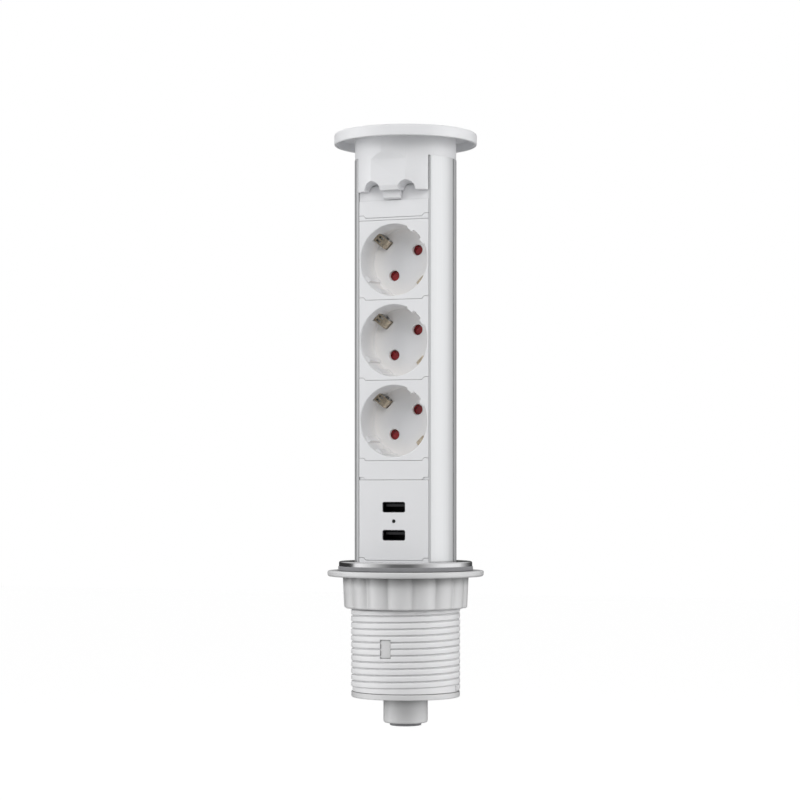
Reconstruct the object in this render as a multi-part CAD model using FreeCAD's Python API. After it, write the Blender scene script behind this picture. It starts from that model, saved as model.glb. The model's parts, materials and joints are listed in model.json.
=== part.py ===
import FreeCAD, Part
import math
import os

# Pull-up socket tower for a worktop, in millimetres.
# The origin is on the column's axis in the plane of the worktop. +Z is up and the sockets face -Y.
# The tower is modelled drawn up to its stop, with the clamp nut screwed right up.

V = FreeCAD.Vector
X = V(1, 0, 0)
Y = V(0, 1, 0)
Z = V(0, 0, 1)

# Clearances
slide_gap = 0.3         # around the tower, the washer and the nut, each on its own body
face_gap = 0.1          # between flat faces of two bodies
fit_gap = 0.1           # between pieces that are pushed into each other
pivot_gap = 0.05        # shutter on its pivot, radial
joint_gap = 0.12        # between one front plate and the next
overcut = 1.0           # how far a cutting shape runs past the surface that it cuts

# Column
column_d = 55.0
face_y = 17.4           # from the axis to the flat front
profile_wall = 1.8
plate_w = 40.0
lip_gap = 0.15          # between a front plate and the profile's lips
plate_t = 3.0
flange_t = 2.0          # depth of the plates' side flanges behind the lips
plate_edge = 0.25
channel_r = 1.45        # screw channels of the profile
channel_boss_r = 3.0
channel_pos = 15.7      # sideways and back from the axis
channel_web = 2.4
groove_w = 1.3
groove_t = 0.6
notch_w = 3.9
notch_h = 1.4
notch_slant = 1.2

# Heights along the column, stacked from the worktop up
gasket_t = 2.3
ring_t = 2.6
plate_over_ring = 0.8
module_pitch = 43.0
label_h = 10.3
spacer_h = 1.4
spacer_drop = 0.5
blank_face_h = 9.0
band_h = 4.7
band_t = 0.4
blank_tongue_h = 3.0
apron_h = 18.3
neck_h = 13.0
socket_count = 3

# Cap
cap_d = 77.0
cap_lip = 1.8
cap_hollow = 4.6
cap_roof = 1.4
cap_edge = 0.9
cap_spigot_h = 3.6
cap_spigot_wall = 1.6

# Top housing
neck_d = 54.6
neck_wall = 2.0
neck_deck_t = 2.6
skirt_h = 7.0
skirt_wall = 1.8
skirt_front_y = -10.5
apron_w = 39.8
apron_wall = 2.4
facet_w = 19.7
facet_bevel = 1.0       # how much deeper the facet's lower edge is
facet_bevel_h = 2.4
facet_slope_h = 4.3     # height of the sloping face over the facet
scallop_r = 5.2
scallop_back_r = 4.0
hook_w = 9.4
hook_h = 3.6
hook_out = 2.9
hook_chamfer = 0.7

# Screws of the column's two ends
screw_r = 1.4
screw_head_r = 3.0
screw_head_t = 2.0
screw_reach = 10.0
screw_hole_r = 1.8

# Socket recess
recess_r = 19.2
recess_depth = 17.5
recess_draft = 0.5
recess_drop = 0.4       # centre of the recess below the middle of its plate
recess_rim = 0.35
cup_wall = 1.4
floor_t = 2.5
pin_spacing = 19.0
pin_hole_r = 2.9
pin_hole_rim = 0.4
pin_angle = 45.0        # of the pin axis, lower left to upper right
rib_in = 17.4           # inner face of the guide ribs, from the centre
rib_near = 2.9          # from the pin axis to the near side of a rib
rib_far = 6.9

# Shutter and its spring
pivot_r = 1.5
shutter_t = 1.6
shutter_float = 0.2
shutter_hub_r = 4.5
shutter_r = 13.2
shutter_half_angle = 20.0
spring_r = 2.5
spring_wire = 0.6
spring_h = 1.2
spring_leg = 8.0

# Rear housing of a socket
base_h = 38.6
base_front_w = 38.0
base_rear_w = 24.8
base_step = 6.0
base_back_y = 22.0
chamber_r = 14.3
chamber_t = 3.4
chamber_floor_t = 1.0
cavity_w = 6.6

# Contacts
bar_t = 0.8
bar_w = 5.0
bar_x = 7.5
earth_bar_w = 4.0
bar_gap = 0.3
bar_back_gap = 1.0
leaf_t = 0.6
leaf_w = 4.4
pin_d = 4.8
pin_grip = 0.2
leaf_from_floor = 1.4
bar_over_pin = 6.0

# Earth clip
clip_w = 5.0
clip_t = 0.7
clip_foot_r = 13.6
clip_bulge_r = 13.3     # where the sprung end is nearest to the plug
clip_bulge_y = 4.0      # how far that is from the recess floor
clip_ramp_r = 18.9
clip_ramp_y = 7.0       # how far the ramp rises from the recess floor
clip_end_r = 19.9
clip_end_rise = 0.5
clip_slot_gap = 0.5
window_h = 5.0
strap_depth = 1.9
tail_w = 4.0

# USB unit
usb_centre_h = 20.9     # from the plate's lower edge to the light pipe
usb_half_spacing = 7.5
usb_open_w = 13.0
usb_open_h = 5.6
usb_corner = 1.0
usb_shell_t = 0.3
usb_recess = 0.6
usb_tongue_w = 11.0
usb_tongue_t = 1.8
usb_tongue_rise = 1.1
usb_tongue_short = 2.0
usb_back_t = 2.4
light_r = 0.9
board_y = -1.0          # front of the circuit board
board_t = 1.6
board_w = 34.0
usb_housing_w = 37.6
usb_housing_h = 40.0
usb_housing_wall = 1.5
usb_housing_back_y = 11.6
transformer = (14.0, 8.6, 15.0)
transformer_in = 9.0    # from the board's side edge to the transformer's middle
transformer_up = 5.0    # from the board's middle
transformer_step = 2.5  # the core is narrower than the coil and the coil shorter than the core
capacitor_r = 4.0
capacitor_in = 8.0      # from the board's other side edge to the capacitor's middle
capacitor_down = 8.0
feed_w = 3.0
feed_t = 0.8
feed_over_edge = 4.5    # from the board's lower edge to the two feed contacts

# Foot of the column
terminal_w = 24.6
terminal_h = 20.0
terminal_front_y = 9.0
terminal_below = 14.0   # from the worktop plane to the top of the terminal block
bar_into_terminal = 16.0
terminal_screw_r = 1.5
terminal_screw_head_r = 2.6
terminal_screw_head_t = 1.6
foot_flange_t = 3.0
foot_flange_d = 58.6
foot_spigot_h = 7.0
foot_spigot_wall = 1.8
gland_r = 12.0
gland_h = 14.0
gland_wall = 2.4
gland_neck_r = 10.0
gland_neck_h = 2.4      # how far the neck stands up inside the foot
grommet_r = 6.5
grommet_flange_r = 8.6
grommet_flange_t = 1.6
cord_bore_r = 4.1

# Collar in the worktop
sleeve_len = 65.0
sleeve_shank_r = 29.2
sleeve_root_r = 28.7
thread_h = 0.8
thread_pitch = 3.5
thread_base = 3.0       # width of the rounded ridge where it leaves the sleeve
thread_top = -1.0
thread_end = 2.0        # plain length at the sleeve's lower end
sleeve_flange_r = 35.2
ring_d = 72.0
ring_sheet = 0.6
ring_edge = 0.8
gasket_d = 72.8
shoe_top = 34.0         # below the worktop plane
shoe_len = 28.0
shoe_wall = 2.4
window_w = 6.0
window_len = 10.0
window_below_shoe = 2.0
lug_out = 1.2

# Clamp washer and nut
washer_d = 84.4
washer_t = 3.1
washer_top_edge = 0.7
washer_low_edge = 1.3
nut_top_r = 34.1
nut_low_r = 33.4
nut_h = 17.0
nut_edge = 1.2
nut_lobes = 16
nut_lobe_r = 10.0       # rounding of a lobe, seen from below
nut_first_valley = 5.0  # degrees from the front, towards +X
valley_r = 1.2
nut_core_r = 31.0
lobe_clear = 0.05       # from the lobes' crests to the turned shape that rounds their lower edge

# Values that follow from the ones above
column_r = column_d / 2
bore_r = column_r - profile_wall
inside_r = bore_r - fit_gap
plate_half = plate_w / 2
lip_half = plate_half + lip_gap
front = -face_y
plate_back = front + plate_t
flange_back = plate_back + flange_t
ring_top = gasket_t + ring_t
usb_z = ring_top + plate_over_ring
label_z = usb_z + module_pitch
sockets_z = label_z + label_h
sockets_top = sockets_z + socket_count * module_pitch
spacer_z = sockets_top - spacer_drop
blank_z = spacer_z + spacer_h
blank_step_z = blank_z + blank_face_h
apron_z = blank_step_z + band_h
profile_top = apron_z + apron_h
neck_top = profile_top + neck_h
cap_lip_z = neck_top - cap_hollow
cap_top = neck_top + cap_roof
foot_z = -sleeve_len - face_gap
floor_y = front + recess_depth
floor_back = floor_y + floor_t
chamber_back = floor_back + chamber_t
leaf_front = chamber_back + leaf_from_floor
bar_y = base_back_y - bar_back_gap - bar_t
pin_offset = pin_spacing / 2 * math.sin(math.radians(pin_angle))
bars_top = sockets_top - module_pitch / 2 + pin_offset + bar_over_pin
terminal_top = -terminal_below
bars_bottom = terminal_top - bar_into_terminal
sleeve_bore_r = column_r + slide_gap
travel = cap_lip_z + cap_hollow - ring_top - face_gap


# Shapes that the pieces are made of
def box(x, y, z):
    return Part.makeBox(x[1] - x[0], y[1] - y[0], z[1] - z[0], V(x[0], y[0], z[0]))


def slab(width, y, z):
    return box((-width / 2, width / 2), y, z)


def rod(radius, z, x=0.0, y=0.0):
    return Part.makeCylinder(radius, z[1] - z[0], V(x, y, z[0]), Z)


def pin(radius, y, x, z):
    return Part.makeCylinder(radius, y[1] - y[0], V(x, y[0], z), Y)


def tube(outer, inner, z):
    return rod(outer, z).cut(rod(inner, z))


def turned(points, arcs=()):
    """Turn an outline of (radius, height) points; an arc is (index, middle point) from that point on."""
    middles = dict(arcs)
    edges = []
    for i, point in enumerate(points):
        a = V(point[0], 0, point[1])
        following = points[(i + 1) % len(points)]
        b = V(following[0], 0, following[1])
        if i in middles:
            edges.append(Part.Arc(a, V(middles[i][0], 0, middles[i][1]), b).toShape())
        else:
            edges.append(Part.makeLine(a, b))
    return Part.Face(Part.Wire(edges)).revolve(V(0, 0, 0), Z, 360)


def corner(radius, height, edge, out, up):
    """Middle point of a round corner at (radius, height); out and up say which way the corner points."""
    inward = edge * (1 - math.sqrt(0.5))
    return (radius - out * inward, height - up * inward)


def prism(points, depth, origin, along, up, away):
    """Push a closed outline of (along, up) points by depth in the direction away."""
    corners = [origin + along * p[0] + up * p[1] for p in points]
    face = Part.Face(Part.makePolygon(corners + [corners[0]]))
    return face.extrude(away * depth)


def rounded_box_y(width, height, y, x, z, radius):
    """Box along Y with its four long edges rounded."""
    body = box((x - width / 2, x + width / 2), y, (z - height / 2, z + height / 2))
    long_edges = [e for e in body.Edges if abs(e.tangentAt(e.FirstParameter).dot(Y)) > 0.9]
    return body.makeFillet(radius, long_edges)


def around_y(shape, degrees, z):
    """Turn a shape about the line along Y through (0, z); a positive angle lifts +X towards +Z."""
    turned_shape = shape.copy()
    turned_shape.rotate(V(0, 0, z), Y, -degrees)
    return turned_shape


def strip(path, thickness):
    """Outline of a bent strip whose middle line is path, with mitred bends."""
    left, right = [], []
    for i, point in enumerate(path):
        before = path[max(i - 1, 0)]
        after = path[min(i + 1, len(path) - 1)]
        first = V(point[0] - before[0], point[1] - before[1], 0)
        second = V(after[0] - point[0], after[1] - point[1], 0)
        if first.Length == 0:
            first = second
        if second.Length == 0:
            second = first
        first.normalize()
        second.normalize()
        normal = V(-first.y - second.y, first.x + second.x, 0)
        normal.normalize()
        reach = thickness / 2 / normal.dot(V(-first.y, first.x, 0))
        left.append((point[0] + normal.x * reach, point[1] + normal.y * reach))
        right.append((point[0] - normal.x * reach, point[1] - normal.y * reach))
    return left + right[::-1]


def inside(shape, z, radius=inside_r):
    """The part of a shape that fits in the profile."""
    return shape.common(rod(radius, z))


def channels(z, gap=0.0):
    """The profile's two screw channels, each a round boss on a web, as thick as gap more all round."""
    reach = channel_pos * math.sqrt(2)
    half = channel_web / 2 + gap
    solids = []
    for angle in (45, 135):
        boss = rod(channel_boss_r + gap, z, reach, 0)
        boss = boss.fuse(box((reach, column_r - profile_wall / 2), (-half, half), z))
        boss.rotate(V(0, 0, 0), Z, angle)
        solids.append(boss)
    return solids[0].fuse(solids[1])


def export(shape, name):
    cleaned = shape.removeSplitter() if shape.ShapeType != "Compound" else shape
    if cleaned.ShapeType == "Compound" and len(cleaned.Solids) == 1:
        cleaned = cleaned.Solids[0]
    assert cleaned.isValid(), name
    cleaned.exportStep("parts/" + name + ".step")
    print(name, len(cleaned.Solids), "solid", round(cleaned.Volume), "mm3")


def ridge(root_r, crest_r, width, z):
    """Right-handed helical ridge with a rounded crest, sunk a little into its core."""
    sink = thread_h / 3
    turns_z = z[1] - z[0]
    path = Part.makeHelix(thread_pitch, turns_z, root_r)
    low = V(root_r - sink, 0, -width / 2)
    high = V(root_r - sink, 0, width / 2)
    low_root = V(root_r, 0, -width / 2)
    high_root = V(root_r, 0, width / 2)
    crest = Part.Arc(low_root, V(crest_r, 0, 0), high_root).toShape()
    profile = Part.Wire([
        Part.makeLine(low, low_root), crest, Part.makeLine(high_root, high), Part.makeLine(high, low)])
    swept = Part.Wire(path.Edges).makePipeShell([profile], True, True)
    solid = Part.Solid(swept) if swept.ShapeType == "Shell" else swept
    solid.translate(Z * z[0])
    return solid


# Front plates
def plate_outline(z, ears, notches):
    """Front outline of a plate between two heights, with ears above and notched lower corners."""
    low, high = z
    half = plate_half
    points = []
    if notches:
        shelf = low + notch_h
        points += [(-half, shelf), (-half + notch_w - notch_slant, shelf), (-half + notch_w, low)]
        points += [(half - notch_w, low), (half - notch_w + notch_slant, shelf), (half, shelf)]
    else:
        points += [(-half, low), (half, low)]
    if ears:
        top = high + notch_h
        inner = notch_w - joint_gap
        points += [(half, top), (half - inner + notch_slant, top), (half - inner, high)]
        points += [(-half + inner, high), (-half + inner - notch_slant, top), (-half, top)]
    else:
        points += [(half, high), (-half, high)]
    return points


def front_plate(z, ears, notches):
    """A front plate with its side flanges behind the profile's lips."""
    outline = plate_outline((z[0], z[1] - joint_gap), ears, notches)
    skin = prism(outline, plate_t, V(0, front, 0), X, Z, Y)
    front_edges = [e for e in skin.Edges if all(abs(v.Point.y - front) < 1e-6 for v in e.Vertexes)]
    skin = skin.makeChamfer(plate_edge, front_edges)
    flange = slab(2 * column_r, (plate_back, flange_back), (z[0], z[1] - joint_gap))
    return skin.fuse(inside(flange, z))


def socket_z(number):
    """Lower and upper height of socket 1, 2, ... counted from the top."""
    low = sockets_top - number * module_pitch
    high = low + module_pitch
    if number == 1:
        high = spacer_z
    return low, high


def socket_centre(number):
    return sockets_top - (number - 0.5) * module_pitch - recess_drop


def recess_space(centre):
    """The hollow of a recess, with its guide ribs left standing."""
    slope = recess_draft / recess_depth
    mouth_r = recess_r + slope * overcut
    floor_r = recess_r - recess_draft
    hollow = Part.makeCone(mouth_r, floor_r, recess_depth + overcut, V(0, front - overcut, centre), Y)
    rib_out = recess_r + cup_wall
    rib_y = (front - overcut, floor_y + overcut)
    for side in (0, 180):
        for near, far in ((rib_near, rib_far), (-rib_far, -rib_near)):
            rib = box((rib_in, rib_out), rib_y, (centre + near, centre + far))
            hollow = hollow.cut(around_y(rib, pin_angle + side, centre))
    rim_place = V(0, front - recess_rim, centre)
    rim = Part.makeCone(recess_r + 2 * recess_rim, recess_r, 2 * recess_rim, rim_place, Y)
    return hollow.fuse(rim)


def pin_places(centre):
    """Places of the two pins across the face, lower left first."""
    return [(-pin_offset, centre - pin_offset), (pin_offset, centre + pin_offset)]


def socket_insert(number):
    z = socket_z(number)
    centre = socket_centre(number)
    body = front_plate(z, number > 1, True)
    cup = pin(recess_r + cup_wall, (plate_back, floor_back), 0, centre)
    body = body.fuse(cup.common(slab(plate_w, (front, floor_back), z)))
    body = body.fuse(inside(slab(plate_w, (plate_back, flange_back), (z[0], z[1] - joint_gap)), z))
    body = body.cut(recess_space(centre))
    for x, height in pin_places(centre):
        body = body.cut(pin(pin_hole_r, (floor_y, floor_back), x, height))
        sink = Part.makeCone(
            pin_hole_r + pin_hole_rim, pin_hole_r, pin_hole_rim, V(x, floor_y, height), Y)
        body = body.cut(sink)
    slot_half = (clip_w + clip_slot_gap) / 2
    for side in (90, 270):
        foot = box(
            (clip_foot_r - clip_t, clip_foot_r + clip_t + clip_slot_gap), (floor_y, floor_back),
            (centre - slot_half, centre + slot_half))
        body = body.cut(around_y(foot, pin_angle + side, centre))
        window = box(
            (clip_ramp_r - overcut, recess_r + cup_wall + overcut),
            (floor_y - clip_ramp_y - window_h / 2 - clip_end_rise, floor_y - clip_ramp_y + window_h / 2),
            (centre - slot_half, centre + slot_half))
        body = body.cut(around_y(window, pin_angle + side, centre))
    pivot = pin(pivot_r, (floor_back - fit_gap, chamber_back - fit_gap), 0, centre)
    return body.fuse(pivot)


def socket_base(number):
    """Rear housing: shutter chamber in front, pin cavities, and channels for the bars at the back."""
    centre = socket_centre(number)
    z = (centre - base_h / 2, centre + base_h / 2)
    body = slab(base_front_w, (floor_back, floor_back + base_step), z)
    body = body.fuse(slab(base_rear_w, (floor_back + base_step, base_back_y), z))
    body = inside(body, z)
    body = body.cut(pin(chamber_r, (floor_back, chamber_back), 0, centre))
    strap = slab(2 * clip_foot_r + 2 * clip_t, (chamber_back, chamber_back + strap_depth),
                 (centre - clip_w / 2 - fit_gap, centre + clip_w / 2 + fit_gap))
    body = body.cut(around_y(strap, pin_angle + 90, centre))
    for x, height in pin_places(centre):
        half = cavity_w / 2
        cavity_y = (chamber_back + chamber_floor_t, base_back_y)
        body = body.cut(box((x - half, x + half), cavity_y, (height - half, height + half)))
        body = body.cut(pin(pin_hole_r, (chamber_back, base_back_y), x, height))
    tail = slab(tail_w + 2 * fit_gap, (chamber_back, base_back_y), (centre - clip_t, centre + clip_t))
    body = body.cut(tail)
    for x, width in ((-bar_x, bar_w), (0, earth_bar_w), (bar_x, bar_w)):
        half = width / 2 + bar_gap
        body = body.cut(box((x - half, x + half), (bar_y - bar_gap, base_back_y), z))
    return body


def earth_clip(number):
    """One bent strap: it crosses behind the shutter and its two sprung ends lean on the recess wall."""
    centre = socket_centre(number)
    strap_y = chamber_back + strap_depth - clip_t / 2
    half_path = [
        (clip_foot_r, strap_y), (clip_foot_r, floor_y), (clip_bulge_r, floor_y - clip_bulge_y),
        (clip_ramp_r, floor_y - clip_ramp_y), (clip_end_r, floor_y - clip_ramp_y - clip_end_rise)]
    path = [(-r, y) for r, y in reversed(half_path)] + half_path
    outline = strip(path, clip_t)
    body = prism(outline, clip_w, V(0, 0, centre - clip_w / 2), X, Y, Z)
    body = around_y(body, pin_angle + 90, centre)
    tail = slab(tail_w, (strap_y, bar_y), (centre - clip_t / 2, centre + clip_t / 2))
    return body.fuse(tail)


def shutter(number):
    """Rotary shutter: a hub with two wings that cover the pin holes."""
    centre = socket_centre(number)
    low = floor_back + shutter_float
    span = (low, low + shutter_t)
    body = pin(shutter_hub_r, span, 0, centre)
    reach = shutter_r / math.cos(math.radians(shutter_half_angle))
    half = shutter_r * math.tan(math.radians(shutter_half_angle))
    outline = [(0, 0), (shutter_r, -half), (reach, 0), (shutter_r, half)]
    wedge = prism(outline, shutter_t, V(0, low, centre), X, Z, Y)
    wings = wedge.fuse(around_y(wedge, 180, centre)).common(pin(shutter_r, span, 0, centre))
    body = body.fuse(around_y(wings, pin_angle, centre))
    return body.cut(pin(pivot_r + pivot_gap, span, 0, centre))


def shutter_spring(number):
    """Return spring round the pivot, with one leg along a wing of the shutter."""
    centre = socket_centre(number)
    low = floor_back + shutter_float + shutter_t
    coil = pin(spring_r + spring_wire / 2, (low, low + spring_h), 0, centre)
    coil = coil.cut(pin(spring_r - spring_wire / 2, (low, low + spring_h), 0, centre))
    half = spring_wire / 2
    leg = box((spring_r, spring_leg), (low, low + spring_wire), (centre - half, centre + half))
    return coil.fuse(around_y(leg, pin_angle, centre))


def contact_bar(x, side):
    """Bar with a two-leaf clip for one pin of each socket; side picks the pin of each pair."""
    body = box((x - bar_w / 2, x + bar_w / 2), (bar_y, bar_y + bar_t), (bars_bottom, bars_top))
    for number in range(1, socket_count + 1):
        place_x, place_z = pin_places(socket_centre(number))[side]
        inner = (pin_d - pin_grip) / 2
        z = (place_z - leaf_w / 2, place_z + leaf_w / 2)
        outer = inner + leaf_t
        body = body.fuse(box((place_x - outer, place_x - inner), (leaf_front, bar_y), z))
        body = body.fuse(box((place_x + inner, place_x + outer), (leaf_front, bar_y), z))
        body = body.fuse(box((place_x - outer, place_x + outer), (bar_y - leaf_t, bar_y), z))
    return body


def earth_bar():
    return slab(earth_bar_w, (bar_y, bar_y + bar_t), (bars_bottom, bars_top))


def bar_cover():
    z = (terminal_top - terminal_h, bars_top)
    return inside(slab(base_rear_w, (base_back_y, column_r), z), z)


# Body of the column
def column_profile():
    z = (foot_z, profile_top)
    skin = tube(column_r, bore_r, z)
    skin = skin.cut(slab(2 * lip_half, (-column_r, 0), z))
    skin = skin.cut(slab(column_d, (-column_r, front), z))
    skin = skin.fuse(channels(z))
    for x in (-channel_pos, channel_pos):
        skin = skin.cut(rod(channel_r, z, x, channel_pos))
    for side in (-1, 1):
        low, high = sorted((side * (column_r - groove_t), side * (column_r + groove_t)))
        skin = skin.cut(box((low, high), (-groove_w / 2, groove_w / 2), z))
    return skin


def blank_plate():
    """Plate under the top housing; its upper band stands back, behind the apron's edge."""
    z = (blank_z, apron_z + blank_tongue_h)
    body = front_plate(z, False, True)
    return body.cut(slab(column_d, (-column_r, front + band_t), (blank_step_z, z[1])))


def spacer_strip():
    return front_plate((spacer_z, blank_z), True, False)


def label_plate():
    return front_plate((label_z, sockets_z), True, True)


def lower_cover():
    return front_plate((foot_z, usb_z), True, False)


def usb_places():
    centre = usb_z + usb_centre_h
    return centre, (centre + usb_half_spacing, centre - usb_half_spacing)


def usb_plate():
    body = front_plate((usb_z, label_z), False, True)
    light_z, ports = usb_places()
    for z in ports:
        body = body.cut(rounded_box_y(usb_open_w, usb_open_h, (front, flange_back), 0, z, usb_corner))
    return body.cut(pin(light_r + fit_gap, (front, flange_back), 0, light_z))


def usb_port(z):
    """Metal shell of one receptacle, open in front."""
    shell_w = usb_open_w - 2 * fit_gap
    shell_h = usb_open_h - 2 * fit_gap
    radius = usb_corner - fit_gap
    outer = rounded_box_y(shell_w, shell_h, (front + usb_recess, board_y), 0, z, radius)
    inner_w = shell_w - 2 * usb_shell_t
    inner_h = shell_h - 2 * usb_shell_t
    return outer.cut(rounded_box_y(inner_w, inner_h, (front, board_y), 0, z, radius - usb_shell_t / 2))


def usb_tongues():
    """Insulators of the two receptacles: a back block that carries a thin tongue."""
    inner_w = usb_open_w - 2 * (fit_gap + usb_shell_t) - 2 * fit_gap
    inner_h = usb_open_h - 2 * (fit_gap + usb_shell_t) - 2 * fit_gap
    solids = []
    for z in usb_places()[1]:
        block = rounded_box_y(inner_w, inner_h, (board_y - usb_back_t, board_y), 0, z, usb_corner)
        low = z + usb_tongue_rise - usb_tongue_t / 2
        tongue_y = (front + usb_recess + usb_tongue_short, board_y)
        tongue = slab(usb_tongue_w, tongue_y, (low, low + usb_tongue_t))
        solids.append(block.fuse(tongue))
    return Part.makeCompound(solids)


def light_pipe():
    return pin(light_r, (front, board_y), 0, usb_places()[0])


def board_size():
    """Width and height of the circuit board, which fits in its housing."""
    width = min(board_w, usb_housing_w - 2 * usb_housing_wall)
    return width, usb_housing_h - 2 * usb_housing_wall


def feed_z():
    """Middle height of the two feed contacts."""
    return usb_places()[0] - board_size()[1] / 2 + feed_over_edge


def usb_housing():
    centre = usb_places()[0]
    z = (centre - usb_housing_h / 2, centre + usb_housing_h / 2)
    wall = usb_housing_wall
    back_y = usb_housing_back_y
    body = inside(slab(usb_housing_w, (flange_back, back_y), z), z)
    hollow_z = (z[0] + wall, z[1] - wall)
    body = body.cut(slab(usb_housing_w - 2 * wall, (flange_back, back_y - wall), hollow_z))
    for x in (-bar_x, bar_x):
        half = feed_w / 2 + fit_gap
        hole_z = (feed_z() - feed_t, feed_z() + feed_t)
        body = body.cut(box((x - half, x + half), (back_y - wall, back_y), hole_z))
    return body


def usb_board():
    centre = usb_places()[0]
    width, height = board_size()
    return slab(width, (board_y, board_y + board_t), (centre - height / 2, centre + height / 2))


def usb_transformer():
    width, depth, height = transformer
    x = transformer_in - board_size()[0] / 2
    low = board_y + board_t
    span = (low, low + depth)
    core_half = width / 2 - transformer_step
    coil_half = height / 2 - transformer_step
    middle = usb_places()[0] + transformer_up
    coil = box((x - width / 2, x + width / 2), span, (middle - coil_half, middle + coil_half))
    core = box((x - core_half, x + core_half), span, (middle - height / 2, middle + height / 2))
    return coil.fuse(core)


def usb_capacitor():
    x = board_size()[0] / 2 - capacitor_in
    low = board_y + board_t
    return pin(capacitor_r, (low, low + transformer[1]), x, usb_places()[0] - capacitor_down)


def usb_feed_contacts():
    """Two springs that reach from the circuit board back to the live and neutral bars."""
    centre = feed_z()
    solids = []
    for x in (-bar_x, bar_x):
        low = board_y + board_t
        sides = (x - feed_w / 2, x + feed_w / 2)
        solids.append(box(sides, (low, bar_y), (centre - feed_t / 2, centre + feed_t / 2)))
    return Part.makeCompound(solids)


# Top of the tower
def cap():
    outer = cap_d / 2
    lip = outer - cap_lip
    round_lip = cap_lip / 3
    spigot_out = neck_d / 2 - neck_wall - fit_gap
    spigot_in = spigot_out - cap_spigot_wall
    spigot_z = neck_top - cap_spigot_h
    points = [
        (0, cap_top), (0, neck_top), (spigot_in, neck_top), (spigot_in, spigot_z),
        (spigot_out, spigot_z), (spigot_out, neck_top), (lip, neck_top), (lip, cap_lip_z + round_lip),
        (lip + round_lip, cap_lip_z), (outer - round_lip, cap_lip_z), (outer, cap_lip_z + round_lip),
        (outer, cap_top - cap_edge), (outer - cap_edge, cap_top)]
    arcs = [
        (7, corner(lip, cap_lip_z, round_lip, -1, -1)),
        (9, corner(outer, cap_lip_z, round_lip, 1, -1)),
        (11, corner(outer, cap_top, cap_edge, 1, 1))]
    return turned(points, arcs)


def facet_cut():
    """What is taken off the apron's front: a flat facet with a sloping face over it and a bevel below."""
    neck_r = neck_d / 2
    half = facet_w / 2
    facet_y = math.sqrt(neck_r ** 2 - half ** 2)
    facet_top = profile_top - facet_slope_h / 2
    low_y = facet_y - facet_bevel
    slope = (neck_r - facet_y) / facet_slope_h
    out = neck_r + overcut
    outline = [
        (-facet_y, facet_top), (-facet_y, apron_z + facet_bevel_h), (-low_y, apron_z),
        (-low_y, apron_z - overcut), (-out, apron_z - overcut),
        (-out, facet_top + (out - facet_y) / slope)]
    return prism(outline, facet_w, V(-half, 0, 0), Y, Z, X)


def scallop_cut(x):
    """Drafted half-round opening in the apron's lower edge."""
    depth = column_r - face_y
    return Part.makeCone(scallop_r, scallop_back_r, depth, V(x, -column_r, apron_z), Y)


def top_housing():
    neck_r = neck_d / 2
    z_neck = (profile_top, neck_top)
    body = tube(neck_r, neck_r - neck_wall, z_neck)
    body = body.fuse(rod(neck_r, (profile_top, profile_top + neck_deck_t)))
    z_skirt = (profile_top - skirt_h, profile_top)
    skirt = tube(inside_r, inside_r - skirt_wall, z_skirt)
    skirt = skirt.common(slab(column_d, (skirt_front_y, column_r), z_skirt)).cut(channels(z_skirt, fit_gap))
    body = body.fuse(skirt)
    z_apron = (apron_z, profile_top)
    apron = rod(neck_r, z_apron).common(slab(apron_w, (-column_r, plate_back), z_apron))
    behind = front - slide_gap
    plate_top = apron_z + blank_tongue_h
    apron = apron.cut(slab(column_d, (behind, 0), (apron_z, plate_top + fit_gap)))
    hollow_front = -math.sqrt(neck_r ** 2 - (facet_w / 2) ** 2) + apron_wall
    hollow_low = apron_z + scallop_r + apron_wall
    core_w = apron_w - 4 * apron_wall
    core = slab(core_w, (hollow_front, plate_back), (hollow_low, profile_top - apron_wall))
    body = body.fuse(apron.cut(core))
    body = body.cut(facet_cut())
    for side in (-1, 1):
        body = body.cut(scallop_cut(side * facet_w / 2))
    hook_low = apron_z - hook_h
    hook = prism(
        [(behind, apron_z), (-face_y - hook_out, apron_z), (-face_y - hook_out, hook_low),
         (behind, hook_low - hook_chamfer)],
        hook_w, V(-hook_w / 2, 0, 0), Y, Z, X)
    body = body.fuse(hook)
    for x in (-channel_pos, channel_pos):
        body = body.cut(rod(screw_hole_r, (profile_top - skirt_h, profile_top + neck_deck_t), x, channel_pos))
    return body


def end_screws(head_z, shank_z, head_up):
    """Two screws in the profile's channels; the head stands on head_z."""
    solids = []
    for x in (-channel_pos, channel_pos):
        step = screw_head_t if head_up else -screw_head_t
        low, high = sorted((head_z, head_z + step))
        head = rod(screw_head_r, (low, high), x, channel_pos)
        low, high = sorted((head_z, shank_z))
        shank = rod(screw_r, (low, high), x, channel_pos)
        solids.append(head.fuse(shank))
    return Part.makeCompound(solids)


# Foot of the tower
def terminal_block():
    z = (terminal_top - terminal_h, terminal_top)
    body = inside(slab(terminal_w, (terminal_front_y, base_back_y), z), z)
    for x, width in ((-bar_x, bar_w), (0, earth_bar_w), (bar_x, bar_w)):
        half = width / 2 + fit_gap
        slot_y = (bar_y - fit_gap, base_back_y)
        body = body.cut(box((x - half, x + half), slot_y, (bars_bottom - fit_gap, terminal_top)))
        hole_y = (terminal_front_y, bar_y)
        body = body.cut(pin(terminal_screw_r + fit_gap, hole_y, x, terminal_top - terminal_h / 2))
    return body


def terminal_screws():
    solids = []
    z = terminal_top - terminal_h / 2
    for x in (-bar_x, 0, bar_x):
        head_y = (terminal_front_y - terminal_screw_head_t, terminal_front_y)
        head = pin(terminal_screw_head_r, head_y, x, z)
        solids.append(head.fuse(pin(terminal_screw_r, (terminal_front_y, bar_y), x, z)))
    return Part.makeCompound(solids)


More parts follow.
